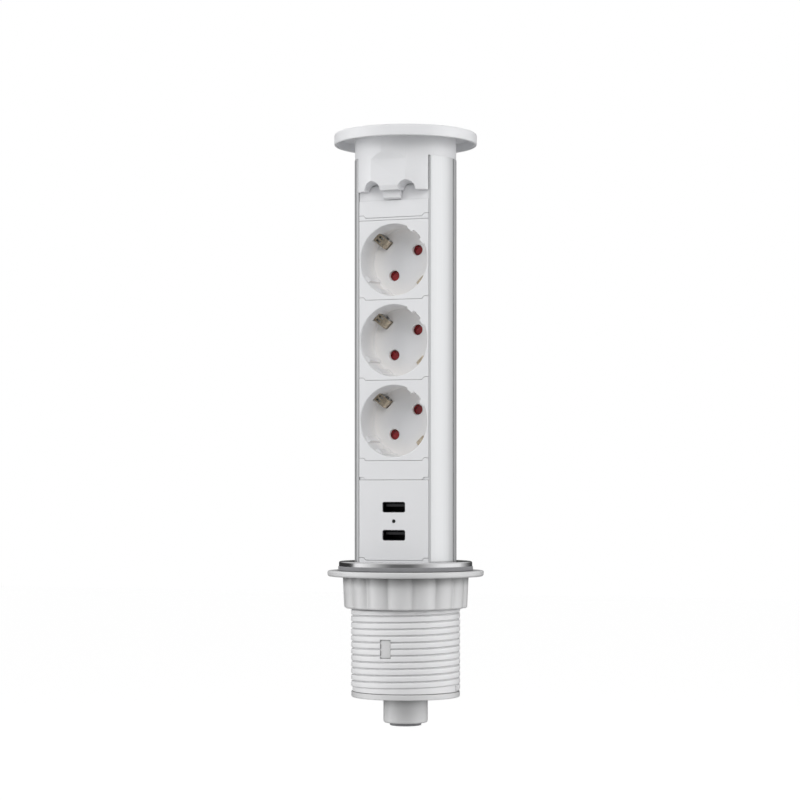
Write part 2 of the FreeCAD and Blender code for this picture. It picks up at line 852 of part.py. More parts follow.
def bottom_cap():
    low = foot_z - foot_flange_t
    body = rod(foot_flange_d / 2, (low, foot_z))
    z_spigot = (foot_z, foot_z + foot_spigot_h)
    spigot = tube(inside_r, inside_r - foot_spigot_wall, z_spigot)
    spigot = spigot.common(slab(column_d, (skirt_front_y, column_r), z_spigot))
    body = body.fuse(spigot.cut(channels(z_spigot, fit_gap)))
    body = body.cut(rod(gland_neck_r + fit_gap, (low, foot_z)))
    for x in (-channel_pos, channel_pos):
        body = body.cut(rod(screw_hole_r, (low, foot_z + foot_spigot_h), x, channel_pos))
    return body


def cable_gland():
    """Hollow boss under the foot; its neck stands through the foot's flange."""
    top = foot_z - foot_flange_t
    low = top - gland_h
    neck_end = foot_z + gland_neck_h
    body = rod(gland_r, (low, top)).fuse(rod(gland_neck_r, (top, neck_end)))
    body = body.cut(rod(gland_r - gland_wall, (low + gland_wall, top - gland_wall)))
    body = body.cut(rod(gland_neck_r - gland_wall, (top - gland_wall, neck_end)))
    return body.cut(rod(grommet_r, (low, top - gland_wall)))


def cable_grommet():
    """Rubber grommet snapped into the gland's floor; the cord's bore runs through it."""
    low = foot_z - foot_flange_t - gland_h
    body = rod(grommet_r - fit_gap / 2, (low, low + gland_wall))
    body = body.fuse(rod(grommet_flange_r, (low - grommet_flange_t, low)))
    body = body.fuse(rod(grommet_flange_r, (low + gland_wall, low + gland_wall + grommet_flange_t)))
    return body.cut(rod(cord_bore_r, (low - grommet_flange_t, low + gland_wall + grommet_flange_t)))


# Collar in the worktop
def trim_ring():
    """Sheet ring over the sleeve's flange, with a skirt round it."""
    outer = ring_d / 2
    low = gasket_t
    under = ring_top - ring_sheet
    points = [
        (sleeve_bore_r, under), (outer - ring_sheet, under), (outer - ring_sheet, low),
        (outer, low), (outer, ring_top - ring_edge), (outer - ring_edge, ring_top), (sleeve_bore_r, ring_top)]
    return turned(points, [(4, corner(outer, ring_top, ring_edge, 1, 1))])


def gasket():
    return tube(gasket_d / 2, sleeve_shank_r + fit_gap, (0, gasket_t))


def threaded_sleeve():
    body = tube(sleeve_root_r, sleeve_bore_r, (-sleeve_len, gasket_t))
    body = body.fuse(tube(sleeve_shank_r, sleeve_bore_r, (thread_top, gasket_t)))
    flange_z = (gasket_t, ring_top - ring_sheet)
    body = body.fuse(tube(sleeve_flange_r, sleeve_bore_r, flange_z))
    helix_z = (-sleeve_len + thread_end, thread_top - thread_base / 2)
    body = body.fuse(ridge(sleeve_root_r, sleeve_root_r + thread_h, thread_base, helix_z))
    window_top = -shoe_top - window_below_shoe
    window_y = (-sleeve_root_r - thread_h - overcut, -sleeve_bore_r + overcut)
    return body.cut(slab(window_w, window_y, (window_top - window_len, window_top)))


def guide_shoe():
    """Fills the sleeve in front of the column's flat; its lug snaps into the sleeve's window."""
    z = (-shoe_top - shoe_len, -shoe_top)
    shoe_r = sleeve_bore_r - fit_gap / 2
    face = front - slide_gap
    out = -column_r - overcut
    body = rod(shoe_r, z).common(slab(2 * shoe_r, (out, face), z))
    hollow = rod(shoe_r - shoe_wall, (z[0], z[1] - shoe_wall))
    hollow = hollow.common(slab(plate_w - 4 * shoe_wall, (out, face - shoe_wall), z))
    body = body.cut(hollow)
    top = z[1] - window_below_shoe - fit_gap
    lug_z = (top - window_len + 2 * fit_gap, top)
    lug_y = (-shoe_r - lug_out, -shoe_r + shoe_wall)
    lug = rod(shoe_r + lug_out, lug_z).common(slab(window_w - 2 * fit_gap, lug_y, lug_z))
    return body.fuse(lug)


# Clamp
def thread_space(z):
    """What the sleeve's thread needs inside the nut, with the clearance of the thread."""
    core = sleeve_root_r + slide_gap
    crest = sleeve_root_r + thread_h + slide_gap
    return rod(core, z).fuse(ridge(core, crest, thread_base + 2 * face_gap, z))


def clamp_washer():
    outer = washer_d / 2
    inner = sleeve_root_r + thread_h + slide_gap
    top = -face_gap
    low = top - washer_t
    points = [
        (inner, low), (outer - washer_low_edge, low), (outer, low + washer_low_edge),
        (outer, top - washer_top_edge), (outer - washer_top_edge, top), (inner, top)]
    arcs = [
        (1, corner(outer, low, washer_low_edge, 1, -1)),
        (3, corner(outer, top, washer_top_edge, 1, 1))]
    return turned(points, arcs)


def nut_lobe(degrees, z):
    """One rounded lobe of the nut, a little narrower at its lower end; the front is at 0 degrees."""
    low_r = nut_lobe_r - nut_top_r + nut_low_r
    lobe = Part.makeCone(low_r, nut_lobe_r, z[1] - z[0], V(nut_lobe_r - nut_top_r, 0, z[0]), Z)
    return lobe.rotated(V(0, 0, 0), Z, 90 + degrees)


def is_valley(edge, z):
    """True for an edge that runs from end to end between two lobes."""
    ends = [v.Point for v in edge.Vertexes]
    heights = sorted(round(p.z, 4) for p in ends)
    if heights != [round(h, 4) for h in z]:
        return False
    return all(math.hypot(p.x, p.y) < nut_low_r + lobe_clear for p in ends)


def clamp_nut():
    """Ring nut with a wavy outside of sixteen lobes, with rounded valleys between."""
    top = -2 * face_gap - washer_t
    low = top - nut_h
    z = (low, top)
    lobe = 360 / nut_lobes
    first = nut_first_valley + lobe / 2
    body = rod(nut_core_r, z).fuse([nut_lobe(first + i * lobe, z) for i in range(nut_lobes)])
    valleys = [e for e in body.Edges if is_valley(e, z)]
    body = body.makeFillet(valley_r, valleys)
    low_r = nut_low_r + lobe_clear
    top_r = nut_top_r + lobe_clear
    points = [(0, low), (low_r - nut_edge, low), (low_r, low + nut_edge), (top_r, top), (0, top)]
    body = body.common(turned(points, [(1, corner(low_r, low, nut_edge, 1, -1))]))
    turns = math.ceil(nut_h / thread_pitch) + 3
    helix_low = -sleeve_len + thread_end
    start = helix_low + math.floor((low - thread_pitch - helix_low) / thread_pitch) * thread_pitch
    return body.cut(thread_space((start, start + turns * thread_pitch)))


def main():
    os.makedirs("parts", exist_ok=True)

    export(trim_ring(), "trim_ring")
    export(gasket(), "gasket")
    export(threaded_sleeve(), "threaded_sleeve")
    export(guide_shoe(), "guide_shoe")
    export(clamp_washer(), "clamp_washer")
    export(clamp_nut(), "clamp_nut")

    export(cap(), "cap")
    export(top_housing(), "top_housing")
    deck_z = profile_top + neck_deck_t
    export(end_screws(deck_z, profile_top - screw_reach, True), "top_screws")
    export(column_profile(), "column_profile")
    export(blank_plate(), "blank_plate")
    export(spacer_strip(), "spacer_strip")

    for number in range(1, socket_count + 1):
        export(socket_insert(number), "socket_insert_%d" % number)
        export(socket_base(number), "socket_base_%d" % number)
        export(earth_clip(number), "earth_clip_%d" % number)
        export(shutter(number), "shutter_%d" % number)
        export(shutter_spring(number), "shutter_spring_%d" % number)
    export(contact_bar(-bar_x, 0), "live_bar")
    export(contact_bar(bar_x, 1), "neutral_bar")
    export(earth_bar(), "earth_bar")
    export(bar_cover(), "bar_cover")

    export(label_plate(), "label_plate")
    export(usb_plate(), "usb_plate")
    upper, lower = usb_places()[1]
    export(usb_port(upper), "usb_port_upper")
    export(usb_port(lower), "usb_port_lower")
    export(usb_tongues(), "usb_tongues")
    export(light_pipe(), "light_pipe")
    export(usb_housing(), "usb_housing")
    export(usb_board(), "usb_board")
    export(usb_transformer(), "usb_transformer")
    export(usb_capacitor(), "usb_capacitor")
    export(usb_feed_contacts(), "usb_feed_contacts")

    export(lower_cover(), "lower_cover")
    export(terminal_block(), "terminal_block")
    export(terminal_screws(), "terminal_screws")
    export(bottom_cap(), "bottom_cap")
    export(end_screws(foot_z - foot_flange_t, foot_z + screw_reach, False), "bottom_screws")
    export(cable_gland(), "cable_gland")
    export(cable_grommet(), "cable_grommet")

    print("travel", round(travel, 3), "cap lip at", round(cap_lip_z, 3), "top", round(cap_top, 3))
    print("socket centres", [round(socket_centre(n), 3) for n in range(1, socket_count + 1)])
    print("usb light and ports", usb_places())


main()
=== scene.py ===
import json
import math
from functools import partial

import bmesh
import bpy
from bpy.props import FloatProperty, FloatVectorProperty, PointerProperty
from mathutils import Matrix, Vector


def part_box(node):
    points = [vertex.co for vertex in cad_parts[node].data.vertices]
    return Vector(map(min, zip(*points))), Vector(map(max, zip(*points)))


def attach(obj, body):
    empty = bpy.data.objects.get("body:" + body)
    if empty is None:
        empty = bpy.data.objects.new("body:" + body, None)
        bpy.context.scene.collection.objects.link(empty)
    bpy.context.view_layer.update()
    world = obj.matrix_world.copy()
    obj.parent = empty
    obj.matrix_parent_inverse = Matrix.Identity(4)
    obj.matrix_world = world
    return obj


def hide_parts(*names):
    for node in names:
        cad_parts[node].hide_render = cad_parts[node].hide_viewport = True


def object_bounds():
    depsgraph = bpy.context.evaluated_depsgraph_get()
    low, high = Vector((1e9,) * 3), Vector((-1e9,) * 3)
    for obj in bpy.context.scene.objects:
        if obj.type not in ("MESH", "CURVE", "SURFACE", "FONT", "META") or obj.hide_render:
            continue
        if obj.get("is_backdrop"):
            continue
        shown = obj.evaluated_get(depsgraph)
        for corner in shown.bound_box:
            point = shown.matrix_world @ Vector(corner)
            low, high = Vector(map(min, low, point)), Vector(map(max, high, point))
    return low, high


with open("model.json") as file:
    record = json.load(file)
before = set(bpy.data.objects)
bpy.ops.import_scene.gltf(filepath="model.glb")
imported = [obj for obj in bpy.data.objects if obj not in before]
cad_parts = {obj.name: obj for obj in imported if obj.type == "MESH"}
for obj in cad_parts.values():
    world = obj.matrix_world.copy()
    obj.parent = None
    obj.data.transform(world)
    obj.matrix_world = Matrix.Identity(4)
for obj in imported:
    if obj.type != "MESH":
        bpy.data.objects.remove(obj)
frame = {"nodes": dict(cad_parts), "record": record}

bl_info = {
    "name": "Pull-up Socket Tower",
    "version": (1, 0, 0),
    "blender": (4, 5, 0),
    "location": "View3D > Sidebar > Socket Tower",
    "description": "Finished pieces of a worktop socket tower, made around its packed construction",
    "category": "Add Mesh",
}

MM = 0.001
SNAP = 0.02             # mm within which a point counts as being at a place
AROUND = 128            # sides of the large turned pieces
AROUND_WIDE = 160       # sides of the widest ones
FAR = 30                # past the column on any side
FIT = 0.1               # gap between parts that stand in each other
FINE_EDGE = 0.12        # rounding of the clips and shutters
WHITE = (1.0, 1.0, 1.0, 1.0)

# Shapes that the construction's boxes don't give, in millimetres
FACE_Y = -17.4          # the flat front of the column
PLATE_W = 40.0
PLATE_T = 3.0
FLANGE_T = 2.0
FLANGE_HALF = 21.0
NOTCH_W = 3.9
NOTCH_H = 1.4
NOTCH_SLANT = 1.2
JOINT_GAP = 0.12
PAD_T = 0.6             # how far the pads in the label plate's notches lie behind its face
BAND_Z = 9.0            # from the blank plate's lower edge to its recessed band
BAND_T = 0.4
COLUMN_R = 27.5
COLUMN_EDGE = 0.18
PROFILE_WALL = 1.8
LIP_HALF = 20.15
GROOVE_W = 1.3
GROOVE_T = 0.6
NECK_R = 27.3
NECK_WALL = 2.0
NECK_DECK_T = 2.6
PROFILE_TOP = 220.9
APRON_Z = 202.6
APRON_W = 39.8
FACET_W = 19.7
FACET_BEVEL = (1.0, 2.4)                # depth and height
FACET_SLOPE_H = 4.3
SCALLOP_R = 5.2
SCALLOP_BACK_R = 4.0
HOOK = (9.4, 3.6, 2.9, 0.7)             # width, height, reach and chamfer
HOOK_GAP = 0.3          # between it and the plates' face
CAP_LIP = 1.8
CAP_HOLLOW = 4.6
CAP_SPIGOT = (0.1, 1.6, 3.6)            # gap to the neck, wall and height
CAP_EDGES = (0.6, 0.8)                  # rounding of its lower edges and of the hollow's ceiling
RECESS_R = 19.2
RECESS_DEPTH = 17.5
RECESS_DRAFT = 0.5
RECESS_DROP = 0.4
RECESS_FLOOR_EDGE = 0.9
CUP_R = 20.1
FLOOR_T = 2.5
PIN_HOLE_R = 2.9
PIN_HOLE_SINK = (0.9, 0.4)              # how much wider its mouth is, and how deep
PIN_HALF_SPACING = 9.5
PIN_ANGLE = 45.0
RIB_IN = 17.4
RIB_SIDES = (2.9, 6.9)
RIB_STARTS = ((0, -0.2), (180, 1.6))    # degrees from the pin axis, and depth of the ribs' front end
CLIP_W = 5.0
CLIP_SLOT_GAP = 0.5
CLIP_PATH = ((13.6, 3.0), (13.6, 0.0), (13.3, -4.0), (18.9, -7.0), (19.9, -7.5))   # radius, and depth from the floor
CLIP_BEND_R = 1.3
CLIP_SLIT = (16.4, 18.9, 1.2, 0.55)     # its ends, how far it lies off the middle, and half its width
CLIP_FOOT = (12.9, 14.8)                # ends of the slots in the recess floor and wall
CLIP_CORE = (15.9, 18.5)
CLIP_WINDOW = (17.9, CUP_R + 1.5)
WINDOW_H = 5.0
SHUTTER_T = 1.6
SHUTTER_FLOAT = 0.2
SHUTTER_R = 13.2
SHUTTER_HUB_R = 4.5
SHUTTER_HALF_ANGLE = 20.0
SHUTTER_RAMP = (4.6, 1.9, 0.8)          # length, half its width, and depth
PIVOT_R = 1.5
USB_OPEN = (13.0, 5.6, 1.0)             # width, height and corner
USB_EDGE = 0.2
USB_LIGHT_R = 0.9
LIGHT_DOME = ((1.0, 0.25), (0.8, 0.08), (0.45, 0.02))   # share of its radius, and depth from the face
SLEEVE_BORE_R = 27.8
SLEEVE_ROOT_R = 28.7
SLEEVE_SHANK_R = 29.2
SLEEVE_FLANGE_R = 35.2
SLEEVE_WINDOW = ((-3, 3), (-31, -26.5), (-46, -36))
SLEEVE_EDGE = 0.3
SHANK_LOW = -1.0        # lower end of the sleeve's plain shank
THREAD_RIDGE = ((0, 0.6), (0.05, 1.0), (0.22, 1.3))     # depth under its crest, and half its width
THREAD_HALF = 1.5       # half its width at the sleeve's wall
THREAD_SUNK = 0.4       # how deep it stands in the wall
THREAD_ENDS = (2.0, 2.5)                # above the sleeve's lower end, and below the worktop's plane
THREAD_STEPS = 96       # in one turn
RING_SHEET = 0.6
RING_EDGES = (0.8, 0.2)                 # outer and inner
GASKET_EDGE = 0.35
WASHER_EDGES = (1.3, 0.7, 0.3)          # lower, upper and bore
NUT_TOP_R = 34.1
NUT_LOW_R = 33.4
NUT_LOW_EDGE = 1.2
NUT_BORE_R = 29.8
NUT_LOBES = 16
NUT_LOBE_R = 10.0
NUT_LOBE_STEPS = 12
NUT_FIRST_VALLEY = 5.0  # degrees from the front, towards +X
CHANNEL_POS = 15.7      # of the profile's screw channels, sideways and back
CHANNEL_R = 1.45
BOSS_R = 3.0
BOSS_WEB = 2.4
SCREW_R = 1.4
SCREW_HOLE_R = 1.8
SCREW_HEAD = (3.0, 2.0)                 # radius and height
SCREW_CROWN = ((0, 0.8), (0.35, 0.25), (1.1, 0))        # in from the head's side, and up from its face
SCREW_CROSS = (1.7, 0.4, 1.1)           # half its length, half its width, and depth
SCREW_TURN = 20         # degrees
FOOT_T = 3.0
FOOT_SPIGOT = (25.6, 1.8, 7.0)          # radius, wall and height
FOOT_FRONT_Y = -10.5
FOOT_EDGES = (0.6, 0.3)                 # lower, and upper and hole
GLAND_R = 12.0
GLAND_NECK = (10.0, 2.4)                # radius, and height above the foot
GLAND_WALL = 2.4
GLAND_EDGES = (1.2, 0.4)                # lower and upper
GROMMET_R = 6.45
GROMMET_FLANGE = (8.6, 1.6)             # radius and thickness
GROMMET_EDGES = (0.7, 0.4)              # outer and bore
CORD_BORE_R = 4.1
PORT_SHELL = (12.8, 5.4, 0.9, 0.3)      # width, height, corner and sheet
PORT_DEPTH = (-16.8, -1.0)
LEAF = ((-15.2, 0), (-11.6, -0.75), (-8.9, 0), (-8.9, 0.2), (-11.6, -0.5), (-15.2, 0.2))    # depth and height
LEAF_X = 3.2
LEAF_SLOT = (1.3, (-15.0, -9.0))        # half its width, and its depths
TONGUE = (11.0, 1.8, 1.1, -14.8)        # width, thickness, rise and front
TONGUE_BACK_T = 2.4
TONGUE_EDGE = 0.3
CONTACTS_X = (-3.5, -1.0, 1.0, 3.5)
CONTACT_GROOVE = (0.6, 1.2, 0.25)       # half its width, distance from the tongue's tip, and depth
CONTACT_GAP = 0.1
CONTACT_EDGE = 0.05

# What mirrors see round the tower: degrees to the camera's right, and brightness
ROOM_WALLS = ((-180, 0.05), (-150, 0.03), (-112, 0.04), (-104, 0.16), (-97, 0.82), (-86, 0.9), (-70, 0.72), (-45, 0.36),
              (-24, 0.13), (8, 0.12), (20, 0.22), (36, 0.45), (60, 0.8), (79, 0.86), (98, 0.82), (109, 0.8), (112, 0.6),
              (120, 0.42), (135, 0.16), (150, 0.05), (180, 0.04))
ROOM_CEILING = (0.6, 0.6, 0.6, 1.0)
CEILING_RISE = {"start": 0.12, "end": 0.5}              # sine of the heights between which the walls fade into it
MIRROR_LIGHT = 1.4
SENSOR_W = 36.0
CAMERA_SHIFT = (-0.007, 0.119)          # shares of the picture's width, sideways and up
VIEW_END = 40.0         # metres
# Each lamp, degrees to the camera's right, and the setting of its height
LAMPS = (("left_lamp", -78, "lamp_height"), ("right_lamp", 74, "lamp_height"),
         ("front_lamp", 6, "front_height"), ("back_lamp", 188, "front_height"))
LAMP_AWAY = 1.1         # metres
LAMP_SIZE = (0.55, 0.7)
FLOOR_TONES = (0.9, 0.93)
FLOOR_BOUNCE = 0.58     # share of the floor's white that lights the tower
FLOOR_GLOW = 0.6


# Modelling steps
def clear_selection():
    if bpy.context.mode != "OBJECT":
        bpy.ops.object.mode_set(mode="OBJECT")
    bpy.ops.object.select_all(action="DESELECT")


def choose(piece):
    clear_selection()
    piece.select_set(True)
    bpy.context.view_layer.objects.active = piece


def open_mesh(piece, action="SELECT"):
    """Start editing a piece, with all of it selected or, on DESELECT, nothing."""
    choose(piece)
    bpy.ops.object.mode_set(mode="EDIT")
    bpy.ops.mesh.select_all(action=action)


def close_mesh():
    bpy.ops.object.mode_set(mode="OBJECT")


def named(piece, name):
    piece.name = name
    piece.data.name = name
    return piece


def started(name):
    """Name the primitive that was just added and put its place in its mesh."""
    bpy.ops.object.transform_apply(location=True, rotation=True, scale=True)
    return named(bpy.context.active_object, name)


def placed(piece, turn=(0.0, 0.0, 0.0), at=(0.0, 0.0, 0.0)):
    """Turn a piece about the origin by degrees, move it by millimetres, and keep that in its mesh."""
    choose(piece)
    piece.rotation_euler = [math.radians(t) for t in turn]
    piece.location = [a * MM for a in at]
    bpy.ops.object.transform_apply(location=True, rotation=True, scale=True)
    return piece


def pick(piece, kind, test):
    """Select the vertices or edges for which test says yes."""
    bpy.ops.mesh.select_mode(type=kind)
    bpy.ops.mesh.select_all(action="DESELECT")
    cage = bmesh.from_edit_mesh(piece.data)
    for part in {"VERT": cage.verts, "EDGE": cage.edges}[kind]:
        if test(part):
            part.select_set(True)
    bmesh.update_edit_mesh(piece.data)


def pull(x=0.0, y=0.0, z=0.0):
    """Extrude what is selected by millimetres."""
    bpy.ops.mesh.extrude_region_move(TRANSFORM_OT_translate={"value": (x * MM, y * MM, z * MM)})


def at_height(vertex, height):
    return abs(vertex.co.z / MM - height) < SNAP


def lies_at(edge, axis, place):
    """True for an edge whose ends both have one coordinate."""
    return all(abs(v.co[axis] / MM - place) < SNAP for v in edge.verts)


def is_front_outline(edge):
    """True for an edge between the front face and a side face."""
    return lies_at(edge, 1, FACE_Y) and any(abs(face.normal.y) < 0.5 for face in edge.link_faces)


def direction(edge):
    return (edge.verts[0].co - edge.verts[1].co).normalized()


def modified(piece, kind, **settings):
    """Apply a modifier with its settings."""
    modifier = piece.modifiers.new(kind.lower(), kind)
    for key, value in settings.items():
        setattr(modifier, key, value)
    choose(piece)
    bpy.ops.object.modifier_apply(modifier=modifier.name)
    return piece


def combined(piece, tools, operation):
    """Unite a piece with tools or cut it by them; the tools are used up."""
    for tool in tools:
        modified(piece, "BOOLEAN", operation=operation, object=tool, solver="EXACT", use_self=False)
        bpy.data.meshes.remove(tool.data)
    return piece


def cut(piece, *tools):
    return combined(piece, tools, "DIFFERENCE")


def unite(piece, *tools):
    return combined(piece, tools, "UNION")


def joined(pieces):
    """Put several meshes in the first one's object."""
    clear_selection()
    for piece in pieces:
        piece.select_set(True)
    bpy.context.view_layer.objects.active = pieces[0]
    bpy.ops.object.join()
    return pieces[0]


def copied(piece, name, at=(0.0, 0.0, 0.0)):
    """A copy with a mesh of its own, moved by millimetres."""
    choose(piece)
    bpy.ops.object.duplicate(linked=False)
    return placed(named(bpy.context.active_object, name), at=at)


def outward(piece):
    """Merge points that coincide and turn all faces outwards."""
    open_mesh(piece)
    bpy.ops.mesh.remove_doubles(threshold=0.002 * MM)
    bpy.ops.mesh.normals_make_consistent(inside=False)
    close_mesh()
    return piece


def block(name, x, y, z):
    """Box between three pairs of coordinates."""
    clear_selection()
    middle = [(a + b) / 2 * MM for a, b in (x, y, z)]
    size = [(b - a) * MM for a, b in (x, y, z)]
    bpy.ops.mesh.primitive_cube_add(size=1, location=middle, scale=size)
    return started(name)


def post(name, radius, span, at=(0.0, 0.0), along="Z", end_radius=None, sides=64):
    """Round bar over a span of heights at (x, y), or of depths at (x, z) along Y."""
    clear_selection()
    x, other, middle = at[0] * MM, at[1] * MM, sum(span) / 2 * MM
    bpy.ops.mesh.primitive_cone_add(
        vertices=sides, radius1=radius * MM, radius2=(end_radius or radius) * MM, depth=(span[1] - span[0]) * MM,
        location=(x, other, middle) if along == "Z" else (x, middle, other),
        rotation=(0, 0, 0) if along == "Z" else (math.radians(-90), 0, 0))
    return started(name)


def rounded_bar(name, width, height, depth, z, corner):
    """Bar along Y with rounded long edges."""
    bar = block(name, (-width / 2, width / 2), depth, (z - height / 2, z + height / 2))
    return round_edges(bar, lambda e: abs(direction(e).y) > 0.9, corner, 4)


def drawn(name, points, height=0.0):
    """Draw a closed line at one height: a ring whose points are moved to their (x, y) places."""
    clear_selection()
    bpy.ops.mesh.primitive_circle_add(vertices=len(points), radius=MM, location=(0, 0, height * MM))
    piece = started(name)
    open_mesh(piece)
    for number, (x, y) in enumerate(points):
        pick(piece, "VERT", lambda v: v.index == number)
        cage = bmesh.from_edit_mesh(piece.data)
        cage.verts.ensure_lookup_table()
        bpy.ops.transform.translate(value=Vector((x * MM, y * MM, height * MM)) - cage.verts[number].co)
    close_mesh()
    return piece


def sheet(name, points, span):
    """Closed line filled and pulled up over a span of heights."""
    piece = drawn(name, points, span[0])
    open_mesh(piece)
    bpy.ops.mesh.edge_face_add()
    pull(z=span[1] - span[0])
    close_mesh()
    return outward(piece)


def turned(name, outline, rings=(), segments=4, sides=AROUND, ends="BRIDGE", ring=None):
    """Pull a ring along an outline of (radius, height) and round its rings at (radius, height, amount).

    BRIDGE joins both ends and FILL closes them.
    """
    radius, height = outline[0]
    if ring:
        piece = drawn(name, ring, height)
    else:
        clear_selection()
        bpy.ops.mesh.primitive_circle_add(vertices=sides, radius=radius * MM, location=(0, 0, height * MM))
        piece = started(name)
    open_mesh(piece)
    for next_radius, next_height in outline[1:]:
        pull(z=next_height - height)
        share = next_radius / radius
        bpy.ops.transform.resize(value=(share, share, 1), center_override=(0, 0, 0))
        radius, height = next_radius, next_height
    if ends == "BRIDGE":
        bpy.ops.mesh.select_all(action="DESELECT")
        bpy.ops.mesh.select_non_manifold()
        bpy.ops.mesh.bridge_edge_loops()
    else:
        bpy.ops.mesh.select_all(action="SELECT")
        bpy.ops.mesh.fill_holes(sides=0)
    outward(piece)
    for radius, height, amount in rings:
        round_edges(piece, lambda e: lies_at(e, 2, height) and all(
            abs(math.hypot(v.co.x, v.co.y) / MM - radius) < SNAP for v in e.verts), amount, segments)
    return piece


def round_edges(piece, test, amount, segments=3):
    """Round the edges for which test says yes."""
    open_mesh(piece, "DESELECT")
    pick(piece, "EDGE", test)
    bpy.ops.mesh.bevel(offset=amount * MM, segments=segments, profile=0.5)
    close_mesh()
    return piece


def sliced(piece, at, normal):
    """Cut a piece by a plane and take away the side that the normal points to."""
    open_mesh(piece)
    bpy.ops.mesh.bisect(
        plane_co=[a * MM for a in at], plane_no=Vector(normal).normalized(), use_fill=True, clear_outer=True,
        clear_inner=False)
    close_mesh()
    return outward(piece)


def softened(piece, amount, segments=2, angle=30.0):
    """Take the sharpness off all edges that turn by more than an angle."""
    return modified(outward(piece), "BEVEL", width=amount * MM, segments=segments, limit_method="ANGLE",
                    angle_limit=math.radians(angle), miter_outer="MITER_ARC")


def delivered(piece, name, body, finish, *nodes, angle=40.0):
    """Finish a piece: smooth shading up to an angle, name, material, body, and the nodes it stands for."""
    choose(piece)
    bpy.ops.object.shade_smooth_by_angle(angle=math.radians(angle))
    modified(piece, "WEIGHTED_NORMAL", keep_sharp=True)
    named(piece, name)
    piece.data.materials.clear()
    piece.data.materials.append(finish_named(finish))
    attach(piece, body)
    if nodes:
        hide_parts(*nodes)


def deliver_each(pieces, name, body, finish, node):
    """Finish the pieces of the three sockets, numbered from the top."""
    for number, piece in enumerate(pieces, 1):
        delivered(piece, name.format(number), body.format(number), finish, node.format(number))


def past(low, high):
    """A span with a millimetre more at both ends, for a tool that cuts right through."""
    return low - 1, high + 1


def to_side(side, near, far):
    """A span on the left, for -1, or on the right, for 1."""
    return sorted((side * near, side * far))


def span_of(node, axis=2):
    """Lowest and highest coordinate of a construction node, in millimetres."""
    low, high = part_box(node)
    return low[axis] / MM, high[axis] / MM


def middle_of(node):
    return sum(span_of(node)) / 2


def round_box(node):
    """Lowest and highest place and radius of a round node."""
    return *span_of(node), span_of(node, 0)[1]


def eared_span(node):
    """Lower edge and upper joint of an eared plate, without its ears."""
    low, high = span_of(node)
    return low, high - NOTCH_H + JOINT_GAP


def size(name):
    """One of the user's sizes, in millimetres."""
    return getattr(bpy.context.scene.socket_tower_sizes, name) / MM


# Material steps
def add_node(tree, kind, inputs=(), **settings):
    """Add a shader node, set it up, and set or link its inputs."""
    made = tree.nodes.new(kind)
    for key, value in settings.items():
        setattr(made, key, value)
    for key, value in dict(inputs).items():
        if isinstance(value, bpy.types.NodeSocket):
            tree.links.new(value, made.inputs[key])
        else:
            made.inputs[key].default_value = value
    return made


def add_range(tree, value, low=0.0, high=1.0, start=0.0, end=1.0):
    inputs = {"Value": value, "From Min": start, "From Max": end, "To Min": low, "To Max": high}
    return add_node(tree, "ShaderNodeMapRange", inputs).outputs["Result"]


def add_mix(tree, factor, first, second):
    return add_node(tree, "ShaderNodeMix", {0: factor, 6: first, 7: second}, data_type="RGBA").outputs[2]


class Finish:
    """A material under construction, with its patterns on object coordinates."""

    def __init__(self, name, colour, rounding=None, **fixed):
        self.material = bpy.data.materials.new(name)
        self.material.use_nodes = True
        self.tree = self.material.node_tree
        self.add = partial(add_node, self.tree)
        self.shader = self.tree.nodes["Principled BSDF"]
        for key, value in fixed.items():
            self.shader.inputs[key.replace("_", " ")].default_value = value
        self.place = self.add("ShaderNodeTexCoord").outputs["Object"]
        self.paint = colour
        self.tone = None
        self.normal = None
        if rounding:    # shade sharp edges as if they were rounded
            self.normal = self.add("ShaderNodeBevel", {"Radius": rounding * MM}, samples=4).outputs["Normal"]

    def shade(self, factor):
        """The paint made lighter or darker, with full alpha."""
        return (*(min(channel * factor, 1.0) for channel in self.paint), 1.0)

    def noise(self, width, detail=2.0, stretch=None, place=None):
        """Soft random pattern whose features are about width millimetres wide."""
        where = place or self.place
        if stretch:
            where = self.add("ShaderNodeMapping", {"Vector": where, "Scale": stretch}).outputs["Vector"]
        inputs = {"Vector": where, "Scale": 1 / (width * MM), "Detail": detail, "Roughness": 0.55}
        return self.add("ShaderNodeTexNoise", inputs).outputs["Fac"]

    def gaps(self, reach, samples=8):
        """1 in the open, lower in gaps and corners within reach millimetres."""
        return self.add("ShaderNodeAmbientOcclusion", {"Distance": reach * MM}, samples=samples).outputs["AO"]

    def clouds(self, pattern, low, high):
        """Start with a tone that wanders between two shades of the paint."""
        self.tone = add_mix(self.tree, add_range(self.tree, pattern, 0.0, 1.0, 0.3, 0.7), self.shade(low),
                            self.shade(high))

    def layer(self, pattern, colour, low, high, start=0.3, end=0.7):
        """Lay a colour over the tone, from low to high while the pattern goes from start to end."""
        self.tone = add_mix(self.tree, add_range(self.tree, pattern, low, high, start, end), self.tone, colour)

    def seams(self, reach, factor, start, end, samples=8):
        """Paint shade into the tone: darken it in gaps and corners."""
        open_part = add_range(self.tree, self.gaps(reach, samples), 0.0, 1.0, start, end)
        self.tone = add_mix(self.tree, open_part, self.shade(factor), self.tone)

    def done(self, pattern, low, high, *bumps):
        """Rub the surface from low to high roughness and raise it by each (pattern, depth in mm, strength)."""
        for raised, depth, strength in bumps:
            inputs = {"Height": raised, "Distance": depth * MM, "Strength": strength}
            if self.normal is not None:
                inputs["Normal"] = self.normal
            self.normal = self.add("ShaderNodeBump", inputs).outputs["Normal"]
        rubbed = add_range(self.tree, pattern, low, high, 0.3, 0.7)
        for source, name in ((self.tone, "Base Color"), (rubbed, "Roughness"), (self.normal, "Normal")):
            self.tree.links.new(source, self.shader.inputs[name])
        return self.material


